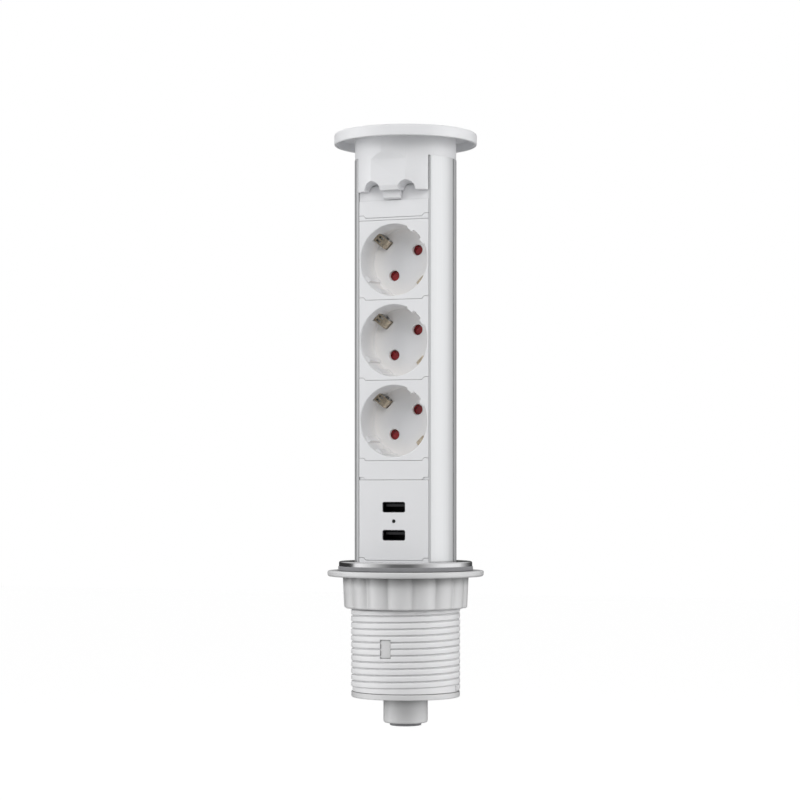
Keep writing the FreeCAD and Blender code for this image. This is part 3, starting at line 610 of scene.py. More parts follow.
def moulded(name, colour, roughness, grain, seam=(1.2, 0.72, 0.25, 0.9), hollow=None, **fixed):
    """Moulded plastic: faint flow clouds, fine grain, painted shade in gaps and corners, painted light in hollows."""
    finish = Finish(name, colour, 0.2, **fixed)
    finish.clouds(finish.noise(24.0, 3.0), 0.985, 1.01)
    finish.layer(finish.noise(0.35, 1.0), finish.shade(0.95), 0.0, 0.35, 0.5, 0.8)
    # Painted light: deep in hollows the tone turns lighter and warmer, standing in for light bounced round the recess
    if hollow:
        finish.layer(finish.gaps(14.0), (*getattr(colours(), hollow), 1.0), 1.0, 0.0, 0.45, 0.9)
    # Painted shade: darker in gaps and corners
    finish.seams(*seam)
    return finish.done(finish.noise(5.0, 3.0), roughness - 0.04, roughness + 0.05,
                       (finish.noise(grain), 0.006, 0.5), (finish.noise(9.0, 1.0), 0.02, 0.25))


def anodised(name, colour):
    """Satin anodised extrusion: fine lines along its length under a clear glossy skin."""
    finish = Finish(name, colour, 0.12, Metallic=0.5, Coat_Weight=0.3, Coat_Roughness=0.06, Coat_IOR=1.5)
    lines = finish.noise(0.25, 3.0, stretch=(1, 1, 0.004))
    finish.clouds(lines, 0.96, 1.02)
    finish.layer(finish.noise(30.0, 2.0, stretch=(1, 1, 0.2)), finish.shade(0.97), 0.0, 0.4)
    # Painted shade: darker in the side grooves and other gaps
    finish.seams(1.5, 0.45, 0.45, 0.85)
    return finish.done(lines, 0.3, 0.38, (lines, 0.004, 0.35))


def polished(name, colour):
    """Polished stainless sheet with hairlines round the axis."""
    finish = Finish(name, colour, 0.15, Metallic=1.0)
    split = finish.add("ShaderNodeSeparateXYZ", {"Vector": finish.place}).outputs
    flat = finish.add("ShaderNodeCombineXYZ", {"X": split["X"], "Y": split["Y"]}).outputs["Vector"]
    reach = finish.add("ShaderNodeVectorMath", {0: flat}, operation="LENGTH").outputs["Value"]
    round_place = finish.add("ShaderNodeCombineXYZ", {"X": reach, "Z": split["Z"]}).outputs["Vector"]
    hairs = finish.noise(0.12, 3.0, place=round_place)
    finish.clouds(hairs, 0.94, 1.03)
    return finish.done(finish.noise(12.0, 3.0), 0.1, 0.17, (hairs, 0.002, 0.3))


def rubbery(name, colour):
    """Closed-cell rubber with fine pores."""
    finish = Finish(name, colour, 0.25)
    pores = finish.add(
        "ShaderNodeTexVoronoi", {"Vector": finish.place, "Scale": 1 / (0.5 * MM)}).outputs["Distance"]
    clouds = finish.noise(8.0, 3.0)
    finish.clouds(clouds, 0.92, 1.06)
    finish.layer(pores, finish.shade(0.7), 0.5, 0.0, 0.05, 0.3)
    return finish.done(clouds, 0.75, 0.88, (pores, 0.02, 0.4))


def stamped(name, colour, tarnish, roughness, grain=(1, 1, 1), metallic=1.0):
    """Stamped sheet metal with rolling lines and a little tarnish."""
    finish = Finish(name, colour, 0.1, Metallic=metallic)
    lines = finish.noise(0.3, 3.0, stretch=grain)
    spots = finish.noise(2.2, 4.0)
    finish.clouds(lines, 0.72, 1.15)
    finish.layer(spots, (*tarnish, 1.0), 0.0, 0.55, 0.5, 0.75)
    return finish.done(spots, roughness - 0.06, roughness + 0.12, (lines, 0.01, 0.4))


def dyed(name, colour):
    """Deep-coloured glossy plastic, with painted shade inside the pin holes."""
    finish = Finish(name, colour, 0.12, Coat_Weight=0.3, Coat_Roughness=0.08)
    finish.clouds(finish.noise(2.5, 3.0), 0.8, 1.15)
    # Painted shade: darker near the pin holes' walls
    finish.seams(4.0, 0.12, 0.3, 0.6, 16)
    return finish.done(finish.noise(1.2), 0.17, 0.3, (finish.noise(0.3), 0.004, 0.4))


def masked(name, colour):
    """Solder mask with tracks and pads."""
    finish = Finish(name, colour, Coat_Weight=0.4, Coat_Roughness=0.15)
    tracks = finish.add(
        "ShaderNodeTexBrick",
        {"Vector": finish.place, "Color1": (0, 0, 0, 1), "Color2": (0.2, 0.2, 0.2, 1), "Mortar": WHITE, "Scale": 260.0,
         "Mortar Size": 0.03}).outputs["Color"]
    finish.tone = add_mix(finish.tree, tracks, finish.shade(1.0), finish.shade(1.6))
    return finish.done(finish.noise(3.0), 0.3, 0.42, (finish.noise(0.5), 0.01, 0.4))


def smoky(name, colour):
    """Smoky clear plastic of the status light."""
    finish = Finish(name, colour, IOR=1.49, Transmission_Weight=0.3)
    clouds = finish.noise(0.8)
    finish.clouds(clouds, 0.8, 1.2)
    return finish.done(clouds, 0.08, 0.16, (finish.noise(0.2, 1.0), 0.002, 0.3))


# The maker of each finish, the setting of its colour, and the rest
FINISHES = {
    "white_plastic": (moulded, "white", dict(roughness=0.36, grain=0.3)),
    # Socket faces: painted light, lighter and warmer deep in the hollows, and a little painted shade in gaps
    "recess_plastic": (moulded, "recess", dict(
        roughness=0.4, grain=0.3, seam=(1.2, 0.86, 0.25, 0.9), hollow="hollow")),
    # Washer, nut and foot: strong painted shade in the nut's valleys and under the washer
    "clamp_plastic": (moulded, "clamp", dict(
        roughness=0.32, grain=0.4, seam=(6.0, 0.22, 0.42, 0.98), Coat_Weight=0.4, Coat_Roughness=0.25)),
    # Sleeve: painted shade in the thread's grooves
    "sleeve_plastic": (moulded, "sleeve", dict(roughness=0.4, grain=0.4, seam=(1.2, 0.62, 0.25, 0.9))),
    "housing_plastic": (moulded, "housing", dict(roughness=0.5, grain=0.4)),
    "black_plastic": (moulded, "black", dict(roughness=0.42, grain=0.3)),
    "anodised_aluminium": (anodised, "aluminium", {}),
    "polished_steel": (polished, "ring", {}),
    "grey_rubber": (rubbery, "rubber", {}),
    "red_plastic": (dyed, "shutter", {}),
    "brass": (stamped, "brass", dict(tarnish=(0.3, 0.18, 0.06), roughness=0.3, grain=(1, 1, 0.02))),
    "nickel_brass": (stamped, "clip", dict(
        tarnish=(0.16, 0.1, 0.05), roughness=0.3, grain=(0.3, 1, 0.3), metallic=0.75)),
    # Painted shade: the port shells' steel is made near black, standing in for the shade inside the ports
    "dark_nickel": (stamped, "port", dict(tarnish=(0.03, 0.028, 0.026), roughness=0.36, grain=(1, 0.1, 1))),
    "steel": (stamped, "steel", dict(tarnish=(0.25, 0.25, 0.26), roughness=0.28)),
    "circuit_board": (masked, "board", {}),
    "clear_plastic": (smoky, "lens", {}),
}
_made = {}


def colours():
    return bpy.context.scene.socket_tower_colours


def finish_named(name):
    """The material of a name, made when it is first asked for."""
    if name not in _made:
        maker, paint, settings = FINISHES[name]
        _made[name] = maker(name, getattr(colours(), paint), **settings)
    return _made[name]


# Pieces
def plate_skin(name, low, high, eared, notched):
    """Front plate: a sheet with notched lower corners and ears above, pushed to its depth."""
    inner = PLATE_W / 2 - NOTCH_W
    top = high - JOINT_GAP
    clear_selection()
    bpy.ops.mesh.primitive_plane_add(
        size=1, location=(0, FACE_Y * MM, (low + top) / 2 * MM), rotation=(math.radians(90), 0, 0))
    piece = started(name)
    open_mesh(piece)
    bpy.ops.transform.resize(value=(2 * inner * MM, 1, (top - low) * MM))
    for side in (-1, 1):
        pick(piece, "EDGE", lambda e: lies_at(e, 0, side * inner))
        pull(x=side * NOTCH_SLANT)
        for height, moves in ((low, notched), (top, eared)):
            if moves:
                pick(piece, "VERT", lambda v: at_height(v, height) and side * v.co.x / MM > inner + SNAP)
                bpy.ops.transform.translate(value=(0, 0, NOTCH_H * MM))
        pick(piece, "EDGE", lambda e: lies_at(e, 0, side * (inner + NOTCH_SLANT)))
        pull(x=side * (NOTCH_W - NOTCH_SLANT))
    if eared:
        for side in (-1, 1):
            pick(piece, "VERT", lambda v: abs(side * v.co.x / MM - inner) < SNAP and at_height(v, top))
            bpy.ops.transform.translate(value=(side * JOINT_GAP * MM, 0, 0))
    bpy.ops.mesh.select_all(action="SELECT")
    pull(y=PLATE_T)
    close_mesh()
    return outward(piece)


def front_plate(name, low, high, eared=True, notched=True):
    """Front plate with rounded edges on its wider flange."""
    piece = plate_skin(name, low, high, eared, notched)
    round_edges(piece, is_front_outline, size("plate_edge"))
    back = FACE_Y + PLATE_T
    return unite(piece, block(
        "flange", (-FLANGE_HALF, FLANGE_HALF), (back - SNAP, back + FLANGE_T), (low, high - JOINT_GAP)))


def arc(centre, radius, first, last, steps):
    """Points on an arc in (radius, height) coordinates, angles in degrees."""
    angles = [math.radians(first + (last - first) * i / steps) for i in range(steps + 1)]
    return [(centre[0] + radius * math.cos(angle), centre[1] + radius * math.sin(angle)) for angle in angles]


def recess_tool(centre):
    """The hollow of a socket: rounded rim, drafted wall, rounded floor edge, guide ribs left out."""
    rim = size("rim_edge")
    edge = RECESS_FLOOR_EDGE
    tool = turned("recess_tool", [
        (RECESS_R + 2 * rim, -1.0), (RECESS_R + rim + SNAP, -SNAP), *arc((RECESS_R + rim, rim), rim, 270, 180, 4),
        *arc((RECESS_R - RECESS_DRAFT - edge, RECESS_DEPTH - edge), edge, 0, 90, 5)], ends="FILL")
    for side, start in RIB_STARTS:
        for mirror in (1, -1):
            rib = block("rib", (RIB_IN, CUP_R + 2), to_side(mirror, *RIB_SIDES), (start, RECESS_DEPTH + 1))
            if start > 0:
                sliced(rib, (RIB_IN, 0, start + 2), (-1, 0, -1))
            round_edges(rib, lambda e: lies_at(e, 0, RIB_IN), 0.5)
            cut(tool, placed(rib, turn=(0, 0, side - PIN_ANGLE)))
    return placed(tool, turn=(-90, 0, 0), at=(0, FACE_Y, centre))


def socket_front(name, low, high, eared, centre):
    """Front plate with its recess, pin holes and the slots of its earth clip."""
    floor_y = FACE_Y + RECESS_DEPTH
    through = (floor_y - 0.5, floor_y + FLOOR_T + 1)
    piece = front_plate(name, low, high, eared)
    unite(piece, post("cup", CUP_R, (FACE_Y + PLATE_T, floor_y + FLOOR_T), (0, centre), "Y", sides=AROUND))
    cut(piece, recess_tool(centre))
    wider, deep = PIN_HOLE_SINK
    offset = PIN_HALF_SPACING * math.sin(math.radians(PIN_ANGLE))
    for side in (-1, 1):
        spot = (side * offset, centre + side * offset)
        hole = post("hole", PIN_HOLE_R, through, spot, "Y", sides=48)
        cut(piece, unite(hole, post("sink", PIN_HOLE_R + wider, (floor_y - 0.5, floor_y + deep), spot, "Y",
                                    end_radius=PIN_HOLE_R, sides=48)))
    half = (CLIP_W + CLIP_SLOT_GAP) / 2
    window = (floor_y + CLIP_PATH[3][1] - WINDOW_H / 2 - 0.5, floor_y - 0.6)
    for side in (90, 270):
        for reach, depth in ((CLIP_FOOT, through), (CLIP_WINDOW, window), (CLIP_CORE, through)):
            tool = block("slot", reach, depth, (-half, half))
            cut(piece, placed(tool, turn=(0, -(PIN_ANGLE + side), 0), at=(0, 0, centre)))
    return outward(piece)


def clip_end(centre, side):
    """One sprung end of the earth clip: a strip bent along its path, with two slits at its wall end."""
    floor_y = FACE_Y + RECESS_DEPTH

    def is_at(edge, place):
        return lies_at(edge, 0, place[0]) and lies_at(edge, 1, floor_y + place[1])

    (reach, depth), (_, low) = CLIP_PATH[:2]
    clear_selection()
    bpy.ops.mesh.primitive_plane_add(
        size=1, location=(reach * MM, (floor_y + (depth + low) / 2) * MM, 0), rotation=(0, math.radians(90), 0))
    strip = started("clip_end")
    open_mesh(strip)
    bpy.ops.transform.resize(value=(1, (depth - low) * MM, CLIP_W * MM))
    for place, following in zip(CLIP_PATH[1:], CLIP_PATH[2:]):
        pick(strip, "EDGE", lambda e: is_at(e, place))
        pull(x=following[0] - place[0], y=following[1] - place[1])
    pick(strip, "EDGE", lambda e: is_at(e, CLIP_PATH[2]))
    bpy.ops.mesh.bevel(offset=CLIP_BEND_R * MM, segments=7, profile=0.5)
    close_mesh()
    modified(outward(strip), "SOLIDIFY", thickness=size("clip_sheet") * MM, offset=0)
    first, last, off, half = CLIP_SLIT
    for z in (-off, off):
        cut(strip, block("slit", (first, last), (floor_y - 9, floor_y - 2), (z - half, z + half)))
    return placed(softened(strip, FINE_EDGE), turn=(0, -(PIN_ANGLE + side), 0), at=(0, 0, centre))


def shutter_disc(centre):
    """Rotary shutter: a hub and two wings with a ramp where each pin arrives."""
    half = SHUTTER_HALF_ANGLE
    outline = []
    for turn in (0, 180):
        outline += arc((0, 0), SHUTTER_R, turn - half, turn + half, 10)
        outline += arc((0, 0), SHUTTER_HUB_R, turn + half, turn + 180 - half, 14)
    piece = sheet("shutter_disc_1", outline, (0, SHUTTER_T))
    length, wide, deep = SHUTTER_RAMP
    near = PIN_HALF_SPACING - length / 2
    for turn in (0, 180):
        ramp = block("ramp", (near, near + length), (-wide, wide), (-1, deep))
        sliced(ramp, (near, 0, deep - 0.05), (-0.5, 0, 1))
        cut(piece, placed(ramp, turn=(0, 0, turn)))
    cut(piece, post("pivot", PIVOT_R, past(0, SHUTTER_T), sides=32))
    back = FACE_Y + RECESS_DEPTH + FLOOR_T + SHUTTER_FLOAT
    return placed(softened(piece, FINE_EDGE), turn=(-90, -PIN_ANGLE, 0), at=(0, back, centre))


def for_each_socket(maker, name):
    """A piece for the first socket and its copies for the second and the third."""
    centres = [middle_of("shutter_%d" % number) for number in (1, 2, 3)]
    first = maker(centres[0])
    return [first] + [copied(first, name, at=(0, 0, centre - centres[0])) for centre in centres[1:]]


# Settings
def length(name, description, default, low=0.0, high=100000.0):
    """A length in millimetres, kept in metres."""
    return FloatProperty(name=name, description=description, default=default * MM, min=low * MM, max=high * MM,
                         unit="LENGTH", precision=5)


def angle(name, description, default):
    """An angle in degrees, kept in radians."""
    return FloatProperty(name=name, description=description, default=math.radians(default), subtype="ANGLE")


def amount(name, description, default, low=0.0, high=200.0):
    return FloatProperty(name=name, description=description, default=default, min=low, max=high)


def paint(name, description, default):
    return FloatVectorProperty(name=name, description=description, default=default, size=3, min=0.0, max=1.0,
                               subtype="COLOR")


class TowerSizes(bpy.types.PropertyGroup):
    """Small sizes of the finish that a user may change."""

    plate_edge: length("Plate edge", "Rounding of the front plates' edges", 0.25, 0.1, 0.6)
    rim_edge: length("Recess rim", "Rounding of the rim of each socket recess", 0.5, 0.2, 0.8)
    cap_edge: length("Cap edge", "Rounding of the cap's upper edge", 1.1, 0.3, 2.0)
    housing_edge: length("Housing edge", "Rounding of the top housing's edges", 0.35, 0.1, 0.6)
    clip_sheet: length("Clip sheet", "Thickness of the earth clips", 0.7, 0.4, 0.9)
    thread_pitch: length("Thread pitch", "Rise of the sleeve's thread in one turn", 3.5, 2.5, 5.0)
    thread_height: length("Thread height", "How far the thread stands out of the sleeve", 0.8, 0.4, 0.8)
    valley_edge: length("Nut valley", "Rounding of the valleys between the nut's lobes", 0.8, 0.3, 1.2)


class TowerColours(bpy.types.PropertyGroup):
    """Colours of the finishes, in linear light."""

    white: paint("White plastic", "Cap, housing and front plates", (0.8, 0.805, 0.82))
    recess: paint("Socket plastic", "Faces of the socket inserts", (0.8, 0.805, 0.82))
    # Painted light: the lighter, warmer colour laid deep in the socket hollows, standing in for light bounced inside
    # them
    hollow: paint("Recess plastic", "Hollows of the socket inserts", (0.95, 0.935, 0.92))
    clamp: paint("Clamp plastic", "Washer, nut and foot", (0.7, 0.7, 0.705))
    sleeve: paint("Sleeve plastic", "Threaded sleeve", (0.83, 0.83, 0.84))
    housing: paint("Inner plastic", "Housings inside the column", (0.42, 0.43, 0.44))
    aluminium: paint("Aluminium", "Column profile", (0.725, 0.733, 0.743))
    ring: paint("Ring steel", "Trim ring", (0.66, 0.66, 0.67))
    rubber: paint("Rubber", "Gasket and grommet", (0.27, 0.27, 0.28))
    shutter: paint("Shutter red", "Shutters behind the pin holes", (0.5, 0.014, 0.022))
    brass: paint("Brass", "Contact bars", (0.66, 0.47, 0.2))
    clip: paint("Clip metal", "Earth clips", (0.66, 0.57, 0.44))
    # Painted shade: near-black steel standing in for the shade inside the charging ports
    port: paint("Port shell", "Charging ports' steel, darkened with painted shade", (0.045, 0.045, 0.05))
    steel: paint("Steel", "Screws and springs", (0.5, 0.5, 0.51))
    black: paint("Black plastic", "Charging ports", (0.014, 0.014, 0.016))
    board: paint("Circuit board", "Board of the charging unit", (0.02, 0.16, 0.07))
    lens: paint("Light lens", "Status light", (0.008, 0.009, 0.01))


class StudioSettings(bpy.types.PropertyGroup):
    """Camera, lamps and floor."""

    azimuth: angle("Azimuth", "Direction of the camera round the tower", 21.5)
    distance: length("Distance", "From the tower's axis to the camera", 1243.0)
    height: length("Height", "Height of the camera over the worktop plane", 40.5)
    lens: amount("Lens", "Focal length in millimetres", 103.5, 50.0)
    left_lamp: amount("Left lamp", "Power of the lamp on the left in watts", 6.2)
    right_lamp: amount("Right lamp", "Power of the lamp on the right in watts", 4.8)
    front_lamp: amount("Front lamp", "Power of the lamp above the camera in watts", 3.95)
    back_lamp: amount("Back lamp", "Power of the lamp behind the tower in watts", 3.5)
    lamp_height: angle("Lamp height", "How high the side lamps hang", 10.0)
    front_height: angle("Front lamp height", "How high the front and back lamps hang", 35.0)
    room_light: amount("Room light", "Strength of the even light all round", 0.4, 0.0, 2.0)
    floor_drop: length("Floor drop", "From the foot down to the floor, so that the tower can be pushed down", 250.0)
    floor_size: length("Floor", "Side of the floor", 14000.0)


def add_walls(tree, turn):
    ramp = add_node(tree, "ShaderNodeValToRGB", {"Fac": turn})
    stops = ramp.color_ramp.elements
    while len(stops) < len(ROOM_WALLS):
        stops.new(0.5)
    for stop, (degrees, value) in zip(stops, ROOM_WALLS):
        stop.position = 0.5 + degrees / 360
        stop.color = (value, value, value, 1.0)
    return ramp.outputs["Color"]


def light_room(context, setup, across, right):
    """White for the camera, even light all round, and in mirrors two bright side walls under a pale ceiling."""
    world = context.scene.world or bpy.data.worlds.new("room")
    context.scene.world = world
    world.use_nodes = True
    tree = world.node_tree
    tree.nodes.clear()
    add = partial(add_node, tree)
    way = add("ShaderNodeTexCoord").outputs["Generated"]
    rise = add("ShaderNodeSeparateXYZ", {"Vector": way}).outputs["Z"]
    ahead_part, right_part = (
        add("ShaderNodeVectorMath", {0: way, 1: side}, operation="DOT_PRODUCT").outputs["Value"]
        for side in (across, right))
    turn = add("ShaderNodeMath", {0: right_part, 1: ahead_part}, operation="ARCTAN2").outputs["Value"]
    walls = add_walls(tree, add_range(tree, turn, start=-math.pi, end=math.pi))
    mirrored = add_mix(tree, add_range(tree, rise, **CEILING_RISE), walls, ROOM_CEILING)
    even, mirror, plain = (
        add("ShaderNodeBackground", {"Color": colour, "Strength": strength}).outputs[0]
        for colour, strength in ((WHITE, setup.room_light), (mirrored, MIRROR_LIGHT), (WHITE, 1.0)))
    seen = add("ShaderNodeLightPath").outputs
    soft = add("ShaderNodeMixShader", {0: seen["Is Glossy Ray"], 1: even, 2: mirror}).outputs[0]
    full = add("ShaderNodeMixShader", {0: seen["Is Camera Ray"], 1: soft, 2: plain}).outputs[0]
    add("ShaderNodeOutputWorld", {"Surface": full})


def add_floor(setup, height):
    """A matt white sheet: plain white where light falls, a little darker in the tower's shadow."""
    clear_selection()
    bpy.ops.mesh.primitive_plane_add(size=setup.floor_size, location=(0, 0, height))
    floor = started("studio_floor")
    material = bpy.data.materials.new("studio_floor")
    material.use_nodes = True
    tree = material.node_tree
    add = partial(add_node, tree)
    place = add("ShaderNodeTexCoord").outputs["Object"]
    paper = add("ShaderNodeTexNoise", {"Vector": place, "Scale": 60.0, "Detail": 4.0}).outputs["Fac"]
    seen = add("ShaderNodeLightPath").outputs["Is Camera Ray"]
    tone = add_range(tree, paper, *FLOOR_TONES)
    level = add_range(tree, seen, FLOOR_BOUNCE)
    white = add("ShaderNodeMath", {0: tone, 1: level}, operation="MULTIPLY").outputs["Value"]
    glow = add("ShaderNodeMath", {0: seen, 1: FLOOR_GLOW}, operation="MULTIPLY").outputs["Value"]
    shader = tree.nodes["Principled BSDF"].inputs
    shader["Roughness"].default_value = 0.9
    shader["Emission Color"].default_value = WHITE
    tree.links.new(white, shader["Base Color"])
    tree.links.new(glow, shader["Emission Strength"])
    floor.data.materials.append(material)
    floor.visible_glossy = False
    floor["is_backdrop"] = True


def add_lamp(name, place, target, power):
    """A soft lamp that neither the camera nor a mirror sees."""
    clear_selection()
    bpy.ops.object.light_add(
        type="AREA", location=place, rotation=(target - place).to_track_quat("-Z", "Y").to_euler())
    lamp = bpy.context.active_object
    lamp.name = name
    lamp.data.shape = "RECTANGLE"
    lamp.data.size, lamp.data.size_y = LAMP_SIZE
    lamp.data.energy = power
    lamp.visible_camera = lamp.visible_glossy = False


class SOCKETTOWER_OT_stage(bpy.types.Operator):
    """Set up the camera, the pale floor, the lamps and the white room"""

    bl_idname = "socket_tower.stage"
    bl_label = "Studio"

    def execute(self, context):
        setup = context.scene.socket_tower_studio
        low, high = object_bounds()
        across = Vector((math.sin(setup.azimuth), -math.cos(setup.azimuth), 0))
        right = Vector((math.cos(setup.azimuth), math.sin(setup.azimuth), 0))
        clear_selection()
        place = across * setup.distance + Vector((0, 0, setup.height))
        bpy.ops.object.camera_add(location=place, rotation=(math.radians(90), 0, setup.azimuth))
        camera = bpy.context.active_object
        camera.name = "studio_camera"
        camera.data.lens = setup.lens
        camera.data.sensor_width = SENSOR_W
        camera.data.shift_x, camera.data.shift_y = CAMERA_SHIFT
        camera.data.clip_end = VIEW_END
        context.scene.camera = camera
        context.scene.view_settings.view_transform = "Standard"
        add_floor(setup, low.z - setup.floor_drop)
        middle = Vector((0, 0, (low.z + high.z) / 2))
        for name, turn, height in LAMPS:
            level = across * math.cos(math.radians(turn)) + right * math.sin(math.radians(turn))
            height = getattr(setup, height)
            spot = middle + LAMP_AWAY * (level * math.cos(height) + Vector((0, 0, math.sin(height))))
            add_lamp(name, spot, middle, getattr(setup, name))
        light_room(context, setup, across, right)
        return {"FINISHED"}


class SOCKETTOWER_OT_cap(bpy.types.Operator):
    """Turn the cap: a disc with a hollow underside and a spigot into the neck"""

    bl_idname = "socket_tower.cap"
    bl_label = "Cap"

    def execute(self, context):
        low, high, radius = round_box("cap")
        ceiling = low + CAP_HOLLOW
        rim = radius - CAP_LIP
        gap, wall, height = CAP_SPIGOT
        edge, inner_edge = CAP_EDGES
        spigot = NECK_R - NECK_WALL - gap
        foot = ceiling - height
        piece = turned("cap_disc", [
            (radius, high), (radius, low), (rim, low), (rim, ceiling), (spigot, ceiling), (spigot, foot),
            (spigot - wall, foot), (spigot - wall, ceiling)],
            [(radius, high, size("cap_edge")), (radius, low, edge), (rim, low, edge), (rim, ceiling, inner_edge)],
            5, sides=AROUND_WIDE, ends="FILL")
        delivered(piece, "cap_disc", "tower", "white_plastic", "cap")
        return {"FINISHED"}


def apron_hook():
    """The hook between the finger openings, chamfered below; it ends a little in front of the plates."""
    width, height, reach, chamfer = HOOK
    front, back = FACE_Y - reach, FACE_Y - HOOK_GAP
    piece = block("hook", (-width / 2, width / 2), (front, back), (APRON_Z - height - chamfer, APRON_Z + 1))
    return sliced(piece, (0, front, APRON_Z - height), (0, -chamfer / (back - front), -1))


def facet_tool():
    """What is cut away in front of the flat facet: a slope above it and a bevel at its lower edge."""
    half = FACET_W / 2
    face = math.sqrt(NECK_R ** 2 - half ** 2)
    top = PROFILE_TOP - FACET_SLOPE_H / 2
    bevel, bevel_h = FACET_BEVEL
    out = NECK_R + 3
    slope = (NECK_R - face) / FACET_SLOPE_H
    section = [(-face, top), (-face, APRON_Z + bevel_h), (-face + bevel, APRON_Z), (-face + bevel, APRON_Z - 2),
               (-out, APRON_Z - 2), (-out, top + (out - face) / slope)]
    return placed(sheet("facet", section, (-half, half)), turn=(90, 0, 90))


class SOCKETTOWER_OT_top_housing(bpy.types.Operator):
    """Shape the neck and its apron, with a flat facet, two half-round openings and the hook"""

    bl_idname = "socket_tower.top_housing"
    bl_label = "Top housing"

    def execute(self, context):
        top = span_of("top_housing")[1]
        inner = NECK_R - NECK_WALL
        piece = turned("neck_and_apron", [
            (NECK_R, APRON_Z), (NECK_R, top), (inner, top), (inner, PROFILE_TOP + NECK_DECK_T)],
            sides=AROUND_WIDE, ends="FILL")
        below = (APRON_Z - 1, PROFILE_TOP)
        cut(piece, block("back", (-FAR, FAR), (FACE_Y + PLATE_T, FAR), below),
            *(block("side", to_side(side, APRON_W / 2, FAR), (-FAR, 0), below) for side in (-1, 1)), facet_tool())
        for x in (-FACET_W / 2, FACET_W / 2):
            cut(piece, post("scallop", SCALLOP_R, (-COLUMN_R - 1, FACE_Y + 1), (x, APRON_Z), "Y",
                            end_radius=SCALLOP_BACK_R))
        unite(piece, apron_hook())
        delivered(softened(piece, size("housing_edge"), 3, 25), "neck_and_apron", "tower", "white_plastic",
                  "top_housing")
        return {"FINISHED"}


class SOCKETTOWER_OT_profile(bpy.types.Operator):
    """Pull the column's shell: a round skin open in front, with lips beside the plates and a groove each side"""

    bl_idname = "socket_tower.profile"
    bl_label = "Column profile"

    def execute(self, context):
        low, high = span_of("column_profile")
        inner = COLUMN_R - PROFILE_WALL
        piece = turned("column_skin", [(COLUMN_R, low), (COLUMN_R, high), (inner, high), (inner, low)], sides=180)
        span = past(low, high)
        cut(piece,
            block("mouth", (-LIP_HALF, LIP_HALF), (-FAR, 0), span),
            block("flat", (-FAR, FAR), (-FAR, FACE_Y), span))
        for side in (-1, 1):
            reach = to_side(side, COLUMN_R - GROOVE_T, COLUMN_R + 1)
            cut(piece, block("groove", reach, (-GROOVE_W / 2, GROOVE_W / 2), span))
        reach = CHANNEL_POS * math.sqrt(2)
        for turn in (45, 135):
            boss = post("boss", BOSS_R, (low, high), (reach, 0), sides=32)
            unite(boss, block("web", (reach, inner + PROFILE_WALL / 2), (-BOSS_WEB / 2, BOSS_WEB / 2), (low, high)))
            unite(piece, placed(boss, turn=(0, 0, turn)))
        for side in (-1, 1):
            cut(piece, post("channel", CHANNEL_R, span, (side * CHANNEL_POS, CHANNEL_POS), sides=24))
        delivered(softened(piece, COLUMN_EDGE, 2, 40), "column_skin", "tower", "anodised_aluminium", "column_profile",
                  angle=30)
        return {"FINISHED"}


class SOCKETTOWER_OT_plates(bpy.types.Operator):
    """Make the plain front plates: the stepped plate under the housing, the spacer, the label plate and the cover"""

    bl_idname = "socket_tower.plates"
    bl_label = "Front plates"

    def execute(self, context):
        low, high = span_of("blank_plate")
        blank = front_plate("plate_blank", low, high + JOINT_GAP, eared=False)
        cut(blank, block("band", (-FAR, FAR), (-FAR, FACE_Y + BAND_T), (low + BAND_Z, high + 1)))
        spacer = front_plate("plate_spacer", *eared_span("spacer_strip"), notched=False)
        low, high = eared_span("label_plate")
        label = front_plate("plate_label", low, high)
        for side in (-1, 1):
            reach = to_side(side, PLATE_W / 2 - NOTCH_W - 0.5, PLATE_W / 2)
            unite(label, block("pad", reach, (FACE_Y + PAD_T, FACE_Y + PLATE_T + 0.5), (low, low + 2 * NOTCH_H)))
        cover = front_plate("plate_cover", *eared_span("lower_cover"), notched=False)
        for piece, node in ((blank, "blank_plate"), (spacer, "spacer_strip"), (label, "label_plate"),
                            (cover, "lower_cover")):
            delivered(outward(piece), piece.name, "tower", "white_plastic", node)
        return {"FINISHED"}


class SOCKETTOWER_OT_sockets(bpy.types.Operator):
    """Shape the three socket inserts round their recesses"""

    bl_idname = "socket_tower.sockets"
    bl_label = "Socket inserts"

    def execute(self, context):
        low, high = eared_span("socket_insert_2")
        centre = (low + high) / 2 - RECESS_DROP
        drop = span_of("socket_insert_3")[0] - low
        second = socket_front("socket_front_2", low, high, True, centre)
        third = copied(second, "socket_front_3", at=(0, 0, drop))
        low, high = span_of("socket_insert_1")
        first = socket_front("socket_front_1", low, high + JOINT_GAP, False, centre - drop)
        deliver_each((first, second, third), "socket_front_{}", "tower", "recess_plastic", "socket_insert_{}")
        return {"FINISHED"}


class SOCKETTOWER_OT_earth_clips(bpy.types.Operator):
    """Bend the sprung ends of the earth clips"""

    bl_idname = "socket_tower.earth_clips"
    bl_label = "Earth clips"

    def execute(self, context):
        clips = for_each_socket(lambda centre: joined([clip_end(centre, side) for side in (90, 270)]), "earth_contact")
        deliver_each(clips, "earth_contact_{}", "tower", "nickel_brass", "earth_clip_{}")
        return {"FINISHED"}


class SOCKETTOWER_OT_shutters(bpy.types.Operator):
    """Make the red shutters behind the pin holes"""

    bl_idname = "socket_tower.shutters"
    bl_label = "Shutters"

    def execute(self, context):
        discs = for_each_socket(shutter_disc, "shutter_disc")
        deliver_each(discs, "shutter_disc_{}", "shutter_{}", "red_plastic", "shutter_{}")
        return {"FINISHED"}


